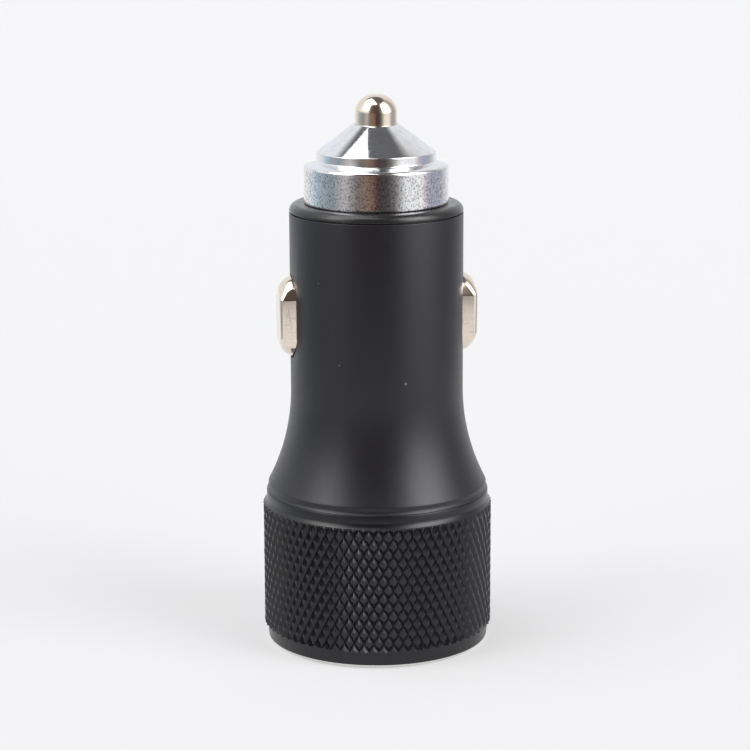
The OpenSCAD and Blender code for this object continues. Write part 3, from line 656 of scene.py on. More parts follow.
def nickel_finish(colours):
    """Warm bright nickel with fine scuffs along the slot and across the face."""
    made, tree, shader, place = finish("contact_nickel", colours.nickel, 0.12, 1.0)
    along = effect_node(tree, fine_scuffs, place, Stretch=(2600.0, 2600.0, 260.0), Amount=0.55)["Mask"]
    across = effect_node(tree, fine_scuffs, place, Stretch=(500.0, 500.0, 4200.0), Amount=0.58)["Mask"]
    worn = maths(tree, "MAXIMUM", along, across)
    coat(tree, shader, blend_colour(tree, worn, colours.nickel, shade_of(colours.nickel, 0.8)),
         remap(tree, worn, 0.0, 1.0, 0.1, 0.26))
    bump(tree, shader, worn, 0.1, 0.004)
    return made


def brushed_metal_finish(name, colour, stretch, roughness=0.25):
    """Plated sheet or wire with a drawn grain along one direction."""
    made, tree, shader, place = finish(name, colour, roughness, 1.0)
    lines = effect_node(tree, fine_scuffs, place, Stretch=stretch, Amount=0.4)["Mask"]
    coat(tree, shader, blend_colour(tree, lines, colour, shade_of(colour, 0.82)),
         remap(tree, lines, 0.0, 1.0, roughness * 0.75, roughness * 1.3))
    bump(tree, shader, lines, 0.12, 0.004)
    return made


def moulded_finish(name, colour, roughness, scale=6000.0, speckle=0.0):
    """Moulded or sintered part: an even grain, and a paler speckle where it has one."""
    made, tree, shader, place = finish(name, colour, roughness)
    grain = effect_node(tree, moulded_grain, place, Scale=scale)["Height"]
    paler = [min(1, channel) for channel in shade_of(colour, 1.2)]
    tone = blend_colour(tree, noise(tree, place, 300.0, 3.0), shade_of(colour, 0.85), paler)
    if speckle:
        dust = effect_node(tree, dust_specks, place, Cells=3000.0, Share=0.3, Size=0.3)["Mask"]
        tone = blend_colour(tree, times(tree, dust, speckle), tone, (0.5, 0.5, 0.5))
    coat(tree, shader, tone, remap(tree, grain, 0.3, 0.7, roughness * 0.85, roughness * 1.15))
    bump(tree, shader, grain, 0.25, 0.01)
    return made


def board_finish(colours):
    """Solder mask over copper tracks and a ground pour, with plated dots."""
    made, tree, shader, place = finish("solder_mask", colours.solder_mask, 0.3)
    tracks = add(tree, "TexBrick", {"Vector": place, "Scale": 900.0, "Mortar Size": 0.035,
                                    "Mortar Smooth": 0.2, "Brick Width": 1.1, "Row Height": 0.7},
                 offset=0.35).outputs["Fac"]
    copper = maths(tree, "MAXIMUM", tracks, remap(tree, noise(tree, place, 380.0), 0.46, 0.5))
    tone = blend_colour(tree, copper, colours.solder_mask, shade_of(colours.solder_mask, 1.8))
    holes = add(tree, "TexVoronoi", {"Vector": place, "Scale": 420.0}).outputs["Distance"]
    dots = maths(tree, "LESS_THAN", holes, 0.1)
    coat(tree, shader, blend_colour(tree, dots, tone, (0.5, 0.46, 0.36)))
    bump(tree, shader, copper, 0.25, 0.02)
    return made


def winding_finish(colours):
    """Enamelled copper wire lying turn beside turn along the winding's axis, with painted shade in the gaps
    between the turns.
    """
    made, tree, shader, place = finish("copper_winding", colours.copper, 0.28, 1.0)
    wire = 0.32 * MM
    turns = maths(tree, "SINE", times(tree, split_up(tree, place)[1], math.tau / wire))
    wire_turns_and_gap_shade = maths(tree, "MULTIPLY_ADD", noise(tree, place, 1600.0), 0.5, turns)
    # Painted shade: the colour drops to 0.35 of the copper between the turns, where the wires meet.
    coat(tree, shader, blend_colour(tree, remap(tree, wire_turns_and_gap_shade, -1.0, 1.3), shade_of(colours.copper, 0.35),
                                    colours.copper))
    bump(tree, shader, wire_turns_and_gap_shade, 0.6, 0.05)
    return made


def sleeve_finish():
    """Dark plastic sleeve of a capacitor, with the pale stripe that marks one of its legs."""
    made, tree, shader, place = finish("capacitor_sleeve", (0.02, 0.025, 0.07), 0.3)
    grain = effect_node(tree, moulded_grain, place, Scale=2500.0)["Height"]
    stripe = maths(tree, "LESS_THAN", maths(tree, "ABSOLUTE", split_up(tree, place)[0]), 1.2 * MM)
    sleeve = blend_colour(tree, grain, (0.016, 0.02, 0.055), (0.03, 0.036, 0.095))
    coat(tree, shader, blend_colour(tree, stripe, sleeve, (0.12, 0.13, 0.2)),
         remap(tree, grain, 0.3, 0.7, 0.24, 0.36))
    bump(tree, shader, grain, 0.15, 0.02)
    return made


def clear_finish(name):
    """Clear moulded light pipe."""
    made, tree, shader, place = finish(name, (0.92, 0.95, 0.97), 0.06, Transmission_Weight=0.9, IOR=1.49)
    haze = noise(tree, place, 1800.0, 3.0)
    coat(tree, shader, roughness=remap(tree, haze, 0.3, 0.7, 0.03, 0.12))
    bump(tree, shader, haze, 0.05, 0.01)
    return made


def make_finishes(colours):
    """Every material of the plug by its slot, made once."""
    steel, gold, plastic = tuple(colours.steel), tuple(colours.gold), tuple(colours.plastic)
    made = {
        "anodised_barrel": anodised_barrel_finish(colours),
        "anodised_grip": anodised_grip_finish(colours),
        "cut_edge": cut_edge_finish(colours),
        "collar_plastic": collar_finish(colours),
        "nose_chrome": chrome_finish(colours),
        "contact_nickel": nickel_finish(colours),
        "clear_lens": clear_finish("clear_lens"),
        "circuit_board": board_finish(colours),
        "copper_wire": winding_finish(colours),
        "capacitor_sleeve": sleeve_finish(),
    }
    # Colour, stretch of the grain, roughness
    for slot, *looks in (
            ("spring_steel", (0.62, 0.62, 0.64), (1500.0, 1500.0, 9000.0), 0.22),
            ("terminal_brass", (0.78, 0.55, 0.24), (600.0, 600.0, 9000.0), 0.25),
            ("port_steel", steel, (900.0, 900.0, 200.0), 0.24),
            ("gold_contacts", gold, (5000.0, 5000.0, 400.0), 0.2)):
        made[slot] = brushed_metal_finish(slot, *looks)
    # Colour, roughness, scale of the grain, share of speckle
    for slot, *looks in (
            ("face_plastic", plastic, 0.42, 7000.0),
            ("led_package", (0.75, 0.72, 0.5), 0.5),
            ("tongue_plastic", (0.012, 0.012, 0.012), 0.45, 5000.0),
            ("carrier_plastic", (0.03, 0.03, 0.033), 0.5, 4000.0),
            ("ferrite", (0.045, 0.045, 0.048), 0.62, 3500.0, 0.5),
            ("chip_plastic", (0.018, 0.018, 0.02), 0.5, 5200.0),
            ("fuse_body", (0.7, 0.69, 0.62), 0.4, 3000.0, 0.15)):
        made[slot] = moulded_finish(slot, *looks)
    return made


COATINGS = {}


def coating(slot):
    """The plug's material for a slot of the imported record."""
    if not COATINGS:
        COATINGS.update(make_finishes(bpy.context.scene.plug_finishes))
    return COATINGS[slot]


# Pieces


class PLUG_OT_barrel(bpy.types.Operator):
    """Turn the barrel with its flare and lip, and cut its two slots"""

    bl_idname = "plug.barrel"
    bl_label = "Barrel"

    def execute(self, context):
        s = sizes(context.scene.plug_barrel)
        z_seam = top_of("grip_ring") / MM
        z_collar = top_of("barrel") / MM
        # The flare is an arc from the barrel's wall to the lip's rounding, tangent to both
        lip = s["lip_radius"] - s["rim_flare"]
        drop = s["flare_height"] - s["lip_wall"]
        step = lip - s["radius"]
        reach = step - s["lip_round"]
        flare = (drop ** 2 + reach ** 2 - s["lip_round"] ** 2) / (2 * step)
        turn = math.degrees(math.asin(drop / (flare + s["lip_round"])))
        rim, rim_height = 0.06, 0.48
        # Inside the foot: the spigot that holds the grip ring, the cavity, and the throat up to the bore
        spigot, cavity, throat = (s["lip_radius"] - wall for wall in (0.78, 1.88, 2.68))
        z_spigot, z_cavity, z_throat, z_bore = (z_seam + rise for rise in (-10.7, -3.23, -2.03, 5.4))
        profile = [
            (s["bore"], z_collar, 0.1), (s["radius"], z_collar, 0.1),
            *arc((s["radius"] + flare, z_seam + s["flare_height"]), flare, 180, 180 + turn, 32),
            *arc((lip - s["lip_round"], z_seam + s["lip_wall"]), s["lip_round"], turn, 0, 6),
            *((lip + s["rim_flare"] * share ** 2, z_seam + rim + rim_height * (1 - share))
              for share in RUN_SHARES),
            (s["lip_radius"] - rim, z_seam), (spigot, z_seam), (spigot, z_spigot), (cavity, z_spigot),
            (cavity, z_cavity), (throat, z_cavity), (throat, z_throat), (s["bore"], z_bore),
        ]
        half_width = s["slot_width"] / 2
        straight = (s["slot_height"] - s["slot_width"]) / 2
        edge = 0.07
        wide = edge + 0.02
        x_inside, x_outside = 6.5, 12.5
        # Rings of the cutter, each (radius or None, growth, distance of a flat one): a flat one in the bore,
        # one just short of the wall, the slot's rounded edge, one past the skin and a flat one outside
        rings = [(None, 0, x_inside), (s["bore"] - 0.5, 0, None)]
        rings += [(s["radius"] - edge * (1 - math.sin(a)), edge * (1 - math.cos(a)), None)
                  for a in quarter(4)]
        rings += [(s["radius"] + 0.6, wide, None), (None, wide, x_outside)]

        def place(level, point, outward):
            radius, grow, flat = rings[level]
            y, z = point + outward * grow
            x = flat if radius is None else math.sqrt(radius ** 2 - y ** 2)
            return (x, y, z + s["slot_centre"])

        cutters = []
        for side in (0, math.pi):
            cutter, levels = slot_tube(half_width, straight, len(rings), place)
            for level in (0, len(rings) - 1):
                bmesh.ops.contextual_create(cutter, geom=ring_at(levels, level))
            bmesh.ops.recalc_face_normals(cutter, faces=cutter.faces)
            bmesh.ops.rotate(cutter, cent=HERE, matrix=Matrix.Rotation(side, 3, "Z"), verts=cutter.verts)
            cutters.append(cutter)
        bm = cut_with(turned(profile), cutters)
        bmesh.ops.remove_doubles(bm, verts=bm.verts, dist=2 * MERGE)
        stand_for("turned_barrel", bm, ["barrel"], "root", "anodised_barrel")
        return {"FINISHED"}


class PLUG_OT_grip_ring(bpy.types.Operator):
    """Cut the diamond knurl on the grip ring, with its band, its foot and the bright chamfer"""

    bl_idname = "plug.grip_ring"
    bl_label = "Grip ring"

    def execute(self, context):
        group = context.scene.plug_grip
        s = sizes(group)
        around, up = 2 * group.diamonds, 2 * group.rows + 2
        pitch = (s["high"] - s["low"]) / (2 * group.rows)
        bm = bmesh.new()
        bmesh.ops.create_grid(bm, x_segments=around, y_segments=up, size=1)
        peaks, valleys = [], []
        for vert in bm.verts:
            i, k = round((vert.co.x + 1) * around / 2), round((vert.co.y + 1) * up / 2)
            (peaks if (i + k) % 2 else valleys).append(vert)
            turn = math.tau * i / around
            vert.co = (s["valley"] * math.cos(turn), s["valley"] * math.sin(turn), s["low"] + (k - 1) * pitch)
        # Each peak's four triangles become one diamond, and each diamond is raised to a flat top
        bmesh.ops.connect_verts(bm, verts=valleys)
        bmesh.ops.remove_doubles(bm, verts=bm.verts, dist=1e-3)
        peaks = [vert for vert in peaks if vert.is_valid]
        bmesh.ops.dissolve_verts(bm, verts=peaks)
        bmesh.ops.recalc_face_normals(bm, faces=bm.faces)
        diamonds = bm.faces[:]
        if diamonds[0].normal.dot(diamonds[0].calc_center_median().to_2d().to_3d()) < 0:
            bmesh.ops.reverse_faces(bm, faces=diamonds)
        bmesh.ops.inset_individual(bm, faces=diamonds, thickness=s["flank"], depth=s["peak"] - s["valley"],
                                   use_even_offset=True)
        # Each flat top sinks, slides and leans a little; the lean is in degrees
        sink, slide, lean = 0.02, 0.015, 0.8
        chance = random.Random(KNURL_SEED)
        for face in diamonds:
            centre = face.calc_center_median()
            shift = face.normal * chance.uniform(-sink, 0.0)
            shift += Vector((0, 0, chance.uniform(-slide, slide)))
            hinge = Vector((chance.uniform(-1, 1), chance.uniform(-1, 1), 1))
            tilt = Matrix.Rotation(math.radians(chance.uniform(-lean, lean)), 3, hinge)
            bmesh.ops.rotate(bm, cent=centre, matrix=tilt, verts=face.verts)
            bmesh.ops.translate(bm, vec=shift, verts=face.verts)
        rims = {edge for face in diamonds for edge in face.edges}
        worn = 0.035
        bmesh.ops.bevel(bm, geom=list(rims), offset=worn, offset_type="OFFSET", segments=2, profile=0.5,
                        affect="EDGES", material=-1, clamp_overlap=True)
        for height, facing in ((s["low"], -1), (s["band_foot"], 1)):
            bmesh.ops.bisect_plane(bm, geom=bm.verts[:] + bm.edges[:] + bm.faces[:], plane_co=(0, 0, height),
                                   plane_no=(0, 0, facing), clear_outer=True, dist=1e-5)

        def draw_on(edges, profile):
            """Extrudes a rim through rings of (radius, height); a radius may depend on the last one."""
            for radius, height in profile:
                moved, edges = drawn_out(bm, edges)
                for vert in moved:
                    flat = vert.co.to_2d()
                    flat *= (radius(flat.length) if callable(radius) else radius) / flat.length
                    vert.co = (flat.x, flat.y, height)
            return edges

        z_seam = top_of("grip_ring") / MM
        between_cuts = (s["peak"] + s["valley"]) / 2
        waist, foot, z_band = s["waist"], s["foot"], s["band_foot"]
        z_burr = z_band + 0.06

        def burr(radius):
            """The cutter leaves a raised edge between the grooves, and runs on into the band."""
            return s["band"] if radius > between_cuts else radius

        upper = draw_on(boundary_at(bm, z_band), [
            (burr, z_band + 0.01), (burr, z_burr),
            *((waist + (s["band"] - waist) * (1 - share) ** 2, z_burr + s["band_flare"] * share)
              for share in RUN_SHARES[1:]),
            *((waist - inward, z_seam - below) for inward, below in SEAM_ROUND),
            (s["bore"], z_seam), (s["bore"], s["high"])])
        lower = draw_on(boundary_at(bm, s["low"]), [
            (foot + 0.02, s["low"] - 0.02), (foot, s["low"] - 0.1), (foot, s["chamfer"] + 0.08),
            (foot - 0.02, s["chamfer"])])
        cut, soft = foot - s["chamfer"], 0.03
        bright = draw_on(lower, [(cut + soft, soft), (cut - soft, 0.0)])
        # The inner lip at the foot, which holds the face plate
        lip, z_lip = s["bore"] - 0.8, 0.6
        under = draw_on(bright, [(lip, 0.0), (lip, z_lip), (s["bore"], z_lip)])
        bmesh.ops.bridge_loops(bm, edges=upper + under)
        bmesh.ops.remove_doubles(bm, verts=bm.verts, dist=MERGE)
        bmesh.ops.recalc_face_normals(bm, faces=bm.faces)
        for face in bm.faces:
            if max(v.co.z for v in face.verts) <= s["chamfer"] + 1e-3 and face.normal.z < -0.5:
                face.material_index = 1
        level_normals(stand_for("knurled_grip", bm, ["grip_ring"], "root", "anodised_grip", "cut_edge",
                                sharp=SHARP_KNURL))
        return {"FINISHED"}


class PLUG_OT_collar(bpy.types.Operator):
    """Turn the insulating collar with its rounded shoulder"""

    bl_idname = "plug.collar"
    bl_label = "Insulating collar"

    def execute(self, context):
        s = sizes(context.scene.plug_barrel)
        z_collar = top_of("barrel") / MM
        z_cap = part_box("nose_cap")[0].z / MM
        z_foot, z_neck = (corner.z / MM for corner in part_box("insulator_collar"))
        # The skirt fits the barrel's bore, a fine groove parts the two, and the neck holds the nose cap
        skirt, groove, neck, chamber, eye = s["bore"] - 0.05, s["radius"] - 0.3, 6.15, 3.45, 1.1
        z_floor = z_foot + 1.7
        profile = [
            (eye, z_foot), (skirt, z_foot, 0.15), (skirt, z_collar), (groove, z_collar),
            (groove, z_collar + 0.14), (s["radius"], z_collar + 0.17, 0.08),
            *arc((s["radius"] - s["collar_round"], z_cap - s["collar_round"]), s["collar_round"], 0, 90, 12),
            (neck, z_cap), (neck, z_neck, 0.15), (chamber, z_neck), (chamber, z_floor), (eye, z_floor),
        ]
        stand_for("turned_collar", turned(profile), ["insulator_collar"], "root", "collar_plastic")
        return {"FINISHED"}


class PLUG_OT_nose_cap(bpy.types.Operator):
    """Turn the plated nose cap: ring, ledge, step and cone"""

    bl_idname = "plug.nose_cap"
    bl_label = "Nose cap"

    def execute(self, context):
        s = sizes(context.scene.plug_nose)
        z_cap, z_top = (corner.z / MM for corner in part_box("nose_cap"))
        z_step = z_cap + s["ring_height"] + s["ledge_rise"]
        z_cone = z_step + s["step_height"]
        neck, chamber, hole = 6.2, 3.45, s["pin_radius"] + 0.05
        z_ring, z_neck, z_guide = z_cap + s["ring_height"], z_cap + 4.32, z_top - 1.3
        # Points close to the rounded edges keep the ring's wall upright in its shading too
        profile = [
            (neck, z_cap), (s["ring_radius"], z_cap, 0.2), (s["ring_radius"], z_cap + 0.3),
            (s["ring_radius"], z_ring - 0.4), (s["ring_radius"], z_ring, 0.3),
            (s["step_radius"], z_step, 0.18), (s["step_radius"], z_cone, 0.07),
            (s["rim_radius"], z_top, 0.05), (hole, z_top, 0.04), (hole, z_guide), (chamber, z_guide),
            (chamber, z_neck), (neck, z_neck),
        ]
        stand_for("turned_nose_cap", turned(profile), ["nose_cap"], "root", "nose_chrome", sharp=SHARP_NOSE)
        return {"FINISHED"}


class PLUG_OT_centre_pin(bpy.types.Operator):
    """Turn the centre pin with its rounded tip, flange and tail, and wind its spring"""

    bl_idname = "plug.centre_pin"
    bl_label = "Centre pin"

    def execute(self, context):
        s = sizes(context.scene.plug_nose)
        z_tail, z_tip = (corner.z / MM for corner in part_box("centre_pin"))
        tail, flange, edge = 1.4, 3.25, 0.08
        z_flange = z_tail + 2.4
        z_shaft = z_flange + 0.8
        radius, tip = s["pin_radius"], s["pin_round"]
        profile = [
            (0, z_tail), (tail, z_tail, 0.2), (tail, z_flange), (flange, z_flange, edge),
            (flange, z_shaft, edge), (radius, z_shaft),
            *arc((radius - tip, z_tip - tip), tip, 0, 90, 24), (0, z_tip),
        ]
        stand_for("turned_pin", turned(profile, closed=False, steps=128), ["centre_pin"], "centre_pin",
                  "contact_nickel", sharp=SHARP_NOSE)
        # The spring is wound to fill the CAD spring's box and stays on no body
        low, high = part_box("pin_spring")
        half = s["wire"] / 2
        spring = wound(high.x / MM - half, s["wire"], low.z / MM + half, high.z / MM - half, SPRING_TURNS)
        obj = stand_for("coil_spring", spring, ["pin_spring"], None, "spring_steel")
        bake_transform(obj)
        return {"FINISHED"}


class PLUG_OT_side_contacts(bpy.types.Operator):
    """Press the two side contacts: pad, leaf and curl from one sheet"""

    bl_idname = "plug.side_contacts"
    bl_label = "Side contacts"

    def execute(self, context):
        s = sizes(context.scene.plug_contacts)
        z_pad = context.scene.plug_barrel.slot_centre / MM
        half_width = s["pad_width"] / 2
        straight = s["pad_length"] / 2 - half_width
        leaf_half = s["leaf_width"] / 2
        foot = 0.2
        collar = s["pad_length"] / 2 + foot + 0.15
        z_low, z_high = (corner.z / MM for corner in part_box("side_contact_right"))
        z_curl = z_low + s["curl"]
        # Share of the pad's straight run, from its middle, over which its edge keeps the side rounding
        even = 0.52
        # Levels: the leaf's edge, the fillet at the pad's foot, its rounded edge, and rings that close it
        bends, rounds = quarter(3), quarter(8)
        # How far in from the rounded edge each closing ring lies; the share keeps them off the midline
        closing, short = (0.3, 0.8, 1.4, 1.9, 2.1), 0.98
        levels = 1 + len(bends) + len(rounds) + len(closing)
        lean, bulge = 0.014, 0.0035

        def crown(z):
            """How far out the face lies: it leans out towards its upper end, and is slightly crowned."""
            return s["pad_out"] + lean * z - bulge * z ** 2

        def place(level, point, outward):
            if level == 0:
                middle = point - outward * half_width
                if abs(middle.y) < straight - TINY:
                    y, z = math.copysign(leaf_half, point.x), point.y
                else:
                    y, z = middle + outward * min(leaf_half / max(abs(outward.x), TINY),
                                                  (collar - straight) / max(abs(outward.y), TINY))
                return (s["leaf_x"], y, z + z_pad)
            level -= 1
            if level < len(bends):
                a = bends[level]
                y, z = point + outward * foot * (1 - math.sin(a))
                return (s["leaf_x"] + foot * (1 - math.cos(a)), y, z + z_pad)
            level -= len(bends)
            along = (abs(point.y) - straight * even) / (half_width + straight * (1 - even))
            along = max(0.0, min(1.0, along))
            blend = along * along * (3 - 2 * along)
            rounding = s["side_round"] + (s["end_round"] - s["side_round"]) * blend
            if level < len(rounds):
                a = rounds[level]
                y, z = point - outward * rounding * (1 - math.cos(a))
                return (crown(z) - rounding * (1 - math.sin(a)), y, z + z_pad)
            inner = closing[level - len(rounds)] / half_width * short
            start = point - outward * rounding
            middle = Vector((0, max(-straight, min(straight, point.y))))
            y, z = start.lerp(middle, inner)
            return (crown(z), y, z + z_pad)

        for side, node in ((0, "side_contact_right"), (math.pi, "side_contact_left")):
            bm, rings = slot_tube(half_width, straight, levels, place)
            bmesh.ops.contextual_create(bm, geom=ring_at(rings, levels - 1))
            # Square the collar's corners, then run the leaf down to its curl and up to its end
            edge = [vert for vert, level in rings.items() if level == 0]
            for corner_y in (-leaf_half, leaf_half):
                for corner_z in (-collar, collar):
                    corner = Vector((s["leaf_x"], corner_y, corner_z + z_pad))
                    min(edge, key=lambda v: (v.co - corner).length).co = corner
            for limit, end in ((z_pad - collar, z_curl), (z_pad + collar, z_high)):
                moved, strip = drawn_out(bm, boundary_at(bm, limit, MERGE))
                for vert in moved:
                    vert.co.z = end
                if end == z_curl:
                    bmesh.ops.spin(bm, geom=moved + strip, cent=(s["leaf_x"] - s["curl"], 0, z_curl),
                                   axis=(0, 1, 0), dvec=HERE, angle=math.radians(320), steps=22,
                                   use_merge=False)
            bmesh.ops.remove_doubles(bm, verts=bm.verts, dist=MERGE)
            bmesh.ops.recalc_face_normals(bm, faces=bm.faces)
            face = max(bm.faces, key=lambda f: f.calc_center_median().x)
            if face.normal.x < 0:
                bmesh.ops.reverse_faces(bm, faces=bm.faces)
            bmesh.ops.rotate(bm, cent=HERE, matrix=Matrix.Rotation(side, 3, "Z"), verts=bm.verts)
            obj = stand_for(node + "_sheet", bm, [node], node, "contact_nickel")
            wall = obj.modifiers.new("sheet", "SOLIDIFY")
            wall.thickness = s["sheet"] * MM
            wall.offset = -1
            level_normals(obj)
        return {"FINISHED"}


class PLUG_OT_usb_face(bpy.types.Operator):
    """Round the edges of the face plate, the port shells, tongues, strips and the light pipe"""

    bl_idname = "plug.usb_face"
    bl_label = "USB face"

    def execute(self, context):
        softened("moulded_face_plate", "face_plate", "face_plastic", 0.08)
        softened("light_pipe", "indicator_lens", "clear_lens", 0.1)
        for end in ("front", "back"):
            softened("folded_shell_" + end, "usb_shell_" + end, "port_steel", 0.05)
            softened("moulded_tongue_" + end, "usb_tongue_" + end, "tongue_plastic", 0.06)
            softened("gold_strips_" + end, "usb_contacts_" + end, "gold_contacts", 0.04)
        return {"FINISHED"}


class PLUG_OT_inner_parts(bpy.types.Operator):
    """Give the pieces inside the barrel their finishes"""

    bl_idname = "plug.inner_parts"
    bl_label = "Inner parts"

    def execute(self, context):
        slots = {row["node"]: row["material_slot"] for row in frame["record"]["subparts"]}
        for name, obj in frame["nodes"].items():
            if obj.hide_render:
                continue
            for place in obj.material_slots:
                place.material = coating(slots[name])
        return {"FINISHED"}


class PLUG_OT_stage(bpy.types.Operator):
    """Set the pale floor, the studio around the plug, the soft lamp and the camera"""

    bl_idname = "plug.stage"
    bl_label = "Stage"

    def execute(self, context):
        scene = context.scene
        stage = scene.plug_stage
        self.floor(stage)
        self.surround(scene, stage)
        self.lights(scene, stage)
        self.camera(scene, stage)
        scene.view_settings.view_transform = "Standard"
        return {"FINISHED"}

    def floor(self, stage):
        """Pale paper to the horizon, clear from below; metal sees it only as far as a real sheet reaches."""
        paper, tree, shader, place = finish("floor_paper", stage.floor, 0.9, Specular_IOR_Level=0.0,
                                            Emission_Color=(1, 1, 1, 1))
        reach = add(tree, "VectorMath", {0: place}, operation="LENGTH").outputs["Value"]
        # Painted shade: the paper is 2.5% darker close to the plug and evens out by half a metre.
        tone = blend_colour(tree, remap(tree, reach, 0.04, 0.5), shade_of(stage.floor, 0.975), stage.floor)
        fibres = times(tree, noise(tree, place, 900.0, 3.0), 0.04)
        coat(tree, shader, blend_colour(tree, fibres, tone, (0.5, 0.5, 0.5)))
        path = add(tree, "LightPath").outputs
        looks = maths(tree, "MAXIMUM", path["Is Camera Ray"],
                      maths(tree, "MAXIMUM", path["Is Glossy Ray"], path["Is Transmission Ray"]))
        tree.links.new(times(tree, looks, stage.floor_glow), shader.inputs["Emission Strength"])
        side = maths(tree, "ABSOLUTE", split_up(tree, place)[0])
        beyond = maths(tree, "MAXIMUM", *(
            remap(tree, distance, edge - 2 * MM, edge + 2 * MM)
            for distance, edge in ((reach, stage.sheet), (side, stage.sheet_side))))
        past = times(tree, path["Is Glossy Ray"], beyond)
        below = add(tree, "NewGeometry").outputs["Backfacing"]
        show(tree, add(tree, "MixShader", {0: maths(tree, "MAXIMUM", past, below), 1: shader.outputs[0],
                                           2: add(tree, "BsdfTransparent").outputs[0]}))
        # The floor is made in metres, as wide as the stage needs, and just clear of the plug's foot
        half_side, gap = 4, 0.05 * MM
        bm = bmesh.new()
        bmesh.ops.create_grid(bm, x_segments=1, y_segments=1, size=half_side)
        bmesh.ops.translate(bm, vec=(0, 0, -gap), verts=bm.verts)
        obj = in_scene("floor", bm, paper)

    def surround(self, scene, stage):
        """The room that metal mirrors: soft boxes at the sides, a panel overhead; plain for the camera."""
        world = bpy.data.worlds.new("studio")
        world.use_nodes = True
        tree = world.node_tree
        tree.nodes.clear()
        way = add(tree, "VectorRotate", {"Vector": add(tree, "TexCoord").outputs["Generated"],
                                         "Angle": stage.turn}, rotation_type="Z_AXIS").outputs[0]
        x, y, z = split_up(tree, way)
        ahead = times(tree, y, -1.0)
        share = maths(tree, "MULTIPLY_ADD", maths(tree, "ARCTAN2", x, ahead), 1 / math.tau, 0.5)

        def walls(stops):
            """Colours around the plug, as (degrees, grey) or (degrees, red, green, blue).

            0 degrees lies behind the camera, and the right is positive.
            """
            node = add(tree, "ValToRGB", {0: share})
            ramp = node.color_ramp
            while len(ramp.elements) < len(stops):
                ramp.elements.new(0.5)
            for element, (degrees, *colour) in zip(ramp.elements, stops):
                element.position = (degrees + 180) / 360
                element.color = (*(colour * 3 if len(colour) == 1 else colour), 1)
            return node.outputs[0]

        def between(value, low, high, soft):
            """1 between two limits with soft edges."""
            return times(tree, remap(tree, value, low - soft, low + soft),
                         remap(tree, value, high - soft, high + soft, 1.0, 0.0))

        table_level = walls([
            (-180, 1.08), (-160, 0.95), (-135, 0.9), (-124, 0.8, 0.86, 0.92), (-112, 0.52, 0.64, 0.72),
            (-92, 0.38, 0.44, 0.48), (-76, 0.3, 0.34, 0.38), (-64, 0.42, 0.42, 0.43), (-50, 0.58, 0.55, 0.54),
            (-40, 0.36, 0.34, 0.34), (-28, 0.22, 0.19, 0.17), (-15, 0.28, 0.19, 0.15), (-5, 0.22, 0.12, 0.09),
            (2, 0.08, 0.055, 0.055), (18, 0.07, 0.07, 0.075), (29, 0.2, 0.19, 0.18), (38, 0.5, 0.49, 0.48),
            (48, 0.95), (74, 1.05), (84, 0.78, 0.7, 0.74), (92, 0.5, 0.48, 0.56), (104, 0.42, 0.44, 0.54),
            (118, 0.45, 0.47, 0.53), (130, 0.62, 0.63, 0.66), (146, 0.85, 0.87, 0.9), (180, 1.08),
        ])
        lamp_level = walls([
            (-180, 0.92, 0.94, 0.98), (-140, 0.92, 0.94, 0.98), (-112, 0.87, 0.89, 0.93), (-100, 1.05),
            (-52, 1.15, 1.13, 1.1), (-42, 0.95, 0.92, 0.88), (-33, 0.2, 0.16, 0.14), (-8, 0.1, 0.075, 0.065),
            (14, 0.1, 0.08, 0.07), (28, 0.25, 0.22, 0.2), (36, 0.6, 0.58, 0.56), (44, 1.9), (80, 1.9),
            (90, 0.9), (104, 0.42, 0.4, 0.41), (118, 0.5, 0.46, 0.44), (132, 0.8, 0.79, 0.8),
            (146, 0.88, 0.89, 0.92), (180, 0.92, 0.94, 0.98),
        ])
        sides = blend_colour(tree, remap(tree, z, 0.0, 0.14), table_level, lamp_level)
        # The panel is a slanted rectangle on a flat ceiling: how far ahead and across, for a height of 1
        above = maths(tree, "MAXIMUM", z, 0.05)
        along = maths(tree, "DIVIDE", ahead, above)
        across = maths(tree, "SUBTRACT", maths(tree, "DIVIDE", x, above), times(tree, along, 0.36))
        panel = times(tree, between(across, -1.6, -0.12, 0.012), between(along, -0.35, 0.6, 0.03))
        ceiling = blend_colour(tree, panel, (0.15, 0.15, 0.155), (1.0, 1.0, 1.0))
        overhead = remap(tree, maths(tree, "MULTIPLY_ADD", x, -0.1, z), 0.77, 0.87)
        room = blend_colour(tree, overhead, sides, ceiling)
        # Each soft box: its shares of the way around, the heights over which it grows, its strength
        left, right = (
            times(tree, between(share, start, end, 0.025), remap(tree, z, low, high, 0.0, power))
            for start, end, low, high, power in ((0.285, 0.375, 0.2, 0.5, stage.left_box),
                                                 (0.61, 0.72, 0.02, 0.45, stage.right_box)))
        boxes = times(tree, maths(tree, "ADD", left, right), remap(tree, z, 0.72, 0.88, 1.0, 0.0))
        high = times(tree, times(tree, panel, overhead), stage.panel)
        pale = add(tree, "Background", {"Color": (*stage.backdrop, 1), "Strength": 1.0})
        felt = add(tree, "Background", {"Color": room, "Strength": stage.surround})
        glare = add(tree, "Background", {"Color": (1.0, 0.98, 1.01, 1),
                                         "Strength": maths(tree, "ADD", boxes, high)})
        lit = add(tree, "AddShader", {0: felt.outputs[0], 1: glare.outputs[0]})
        path = add(tree, "LightPath").outputs
        plain = maths(tree, "MAXIMUM", path["Is Camera Ray"], path["Is Transmission Ray"])
        both = add(tree, "MixShader", {0: plain, 1: lit.outputs[0], 2: pale.outputs[0]})
        output = add(tree, "OutputWorld")
        tree.links.new(both.outputs[0], output.inputs[0])
        scene.world = world

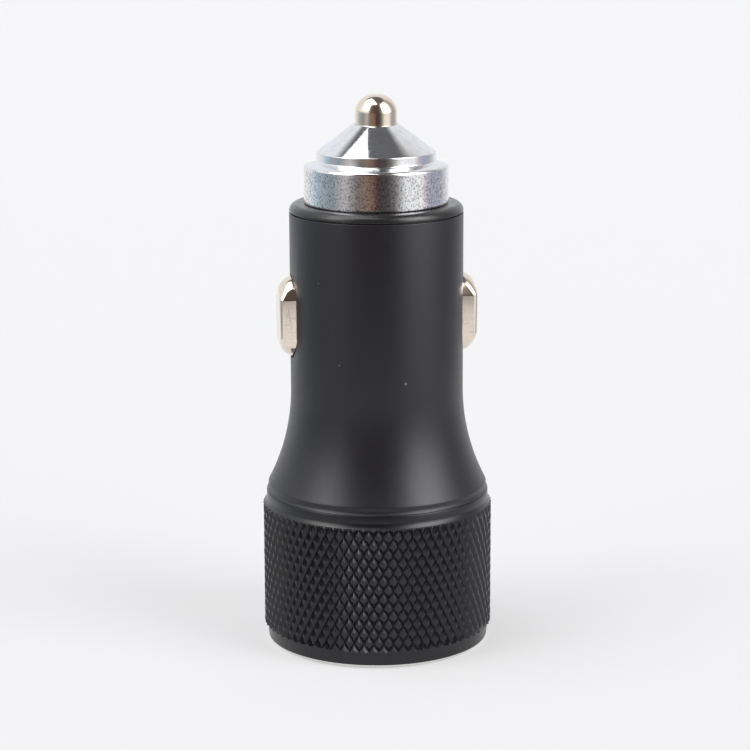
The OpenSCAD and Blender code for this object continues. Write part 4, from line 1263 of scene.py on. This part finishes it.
    def lights(self, scene, stage):
        """One soft key lamp from the upper left, for the plug's shadow."""
        azimuth, elevation = math.radians(-80), math.radians(52)
        lamp = bpy.data.lights.new("soft_key", "SUN")
        lamp.energy = stage.key
        lamp.angle = math.radians(40)
        obj = bpy.data.objects.new("soft_key", lamp)
        way = Vector((math.sin(azimuth) * math.cos(elevation), -math.cos(azimuth) * math.cos(elevation),
                      math.sin(elevation)))
        obj.rotation_euler = way.to_track_quat("Z", "Y").to_euler()
        scene.collection.objects.link(obj)

    def camera(self, scene, stage):
        """The photo's camera, a little above the plug's nose."""
        data = bpy.data.cameras.new("camera")
        data.sensor_width = 36
        data.lens = stage.lens
        data.clip_start = 0.01
        data.clip_end = 20
        obj = bpy.data.objects.new("camera", data)
        side = Matrix.Rotation(-stage.turn, 3, "Z") @ Vector((0, -stage.distance, 0))
        obj.location = (side.x, side.y, stage.height)
        aim = (Matrix.Rotation(-stage.turn + stage.yaw, 4, "Z")
               @ Matrix.Rotation(math.pi / 2 - stage.pitch, 4, "X")
               @ Matrix.Rotation(stage.roll, 4, "Z"))
        obj.rotation_euler = aim.to_euler()
        scene.collection.objects.link(obj)
        scene.camera = obj


OPERATORS = (PLUG_OT_barrel, PLUG_OT_grip_ring, PLUG_OT_collar, PLUG_OT_nose_cap, PLUG_OT_centre_pin,
             PLUG_OT_side_contacts, PLUG_OT_usb_face, PLUG_OT_inner_parts, PLUG_OT_stage)


class PLUG_PT_sidebar(bpy.types.Panel):
    """Sizes, colours and the steps that build the plug"""

    bl_idname = "PLUG_PT_sidebar"
    bl_label = "Charger plug"
    bl_space_type = "VIEW_3D"
    bl_region_type = "UI"
    bl_category = "Charger Plug"

    def draw(self, context):
        layout = self.layout
        for title, name in (("Barrel", "plug_barrel"), ("Grip ring", "plug_grip"), ("Nose", "plug_nose"),
                            ("Side contacts", "plug_contacts"), ("Finishes", "plug_finishes"),
                            ("Stage", "plug_stage")):
            box = layout.box()
            box.label(text=title)
            group = getattr(context.scene, name)
            for prop in group.__annotations__:
                box.prop(group, prop)
        for operator in OPERATORS:
            layout.operator(operator.bl_idname)


GROUPS = {"plug_barrel": PlugBarrelSizes, "plug_grip": PlugGripSizes, "plug_nose": PlugNoseSizes,
          "plug_contacts": PlugContactSizes, "plug_finishes": PlugFinishes, "plug_stage": PlugStage}


def register():
    """Adds the sizes, the steps and the panel to Blender."""
    for name, group in GROUPS.items():
        bpy.utils.register_class(group)
        setattr(bpy.types.Scene, name, PointerProperty(type=group))
    for cls in (*OPERATORS, PLUG_PT_sidebar):
        bpy.utils.register_class(cls)


def unregister():
    """Takes the panel, the steps and the sizes out again."""
    for cls in (PLUG_PT_sidebar, *reversed(OPERATORS)):
        bpy.utils.unregister_class(cls)
    for name, group in GROUPS.items():
        delattr(bpy.types.Scene, name)
        bpy.utils.unregister_class(group)


def main():
    """Builds the whole dressed plug."""
    register()
    for operator in OPERATORS:
        area, name = operator.bl_idname.split(".")
        getattr(getattr(bpy.ops, area), name)()


if __name__ == "__main__":
    main()
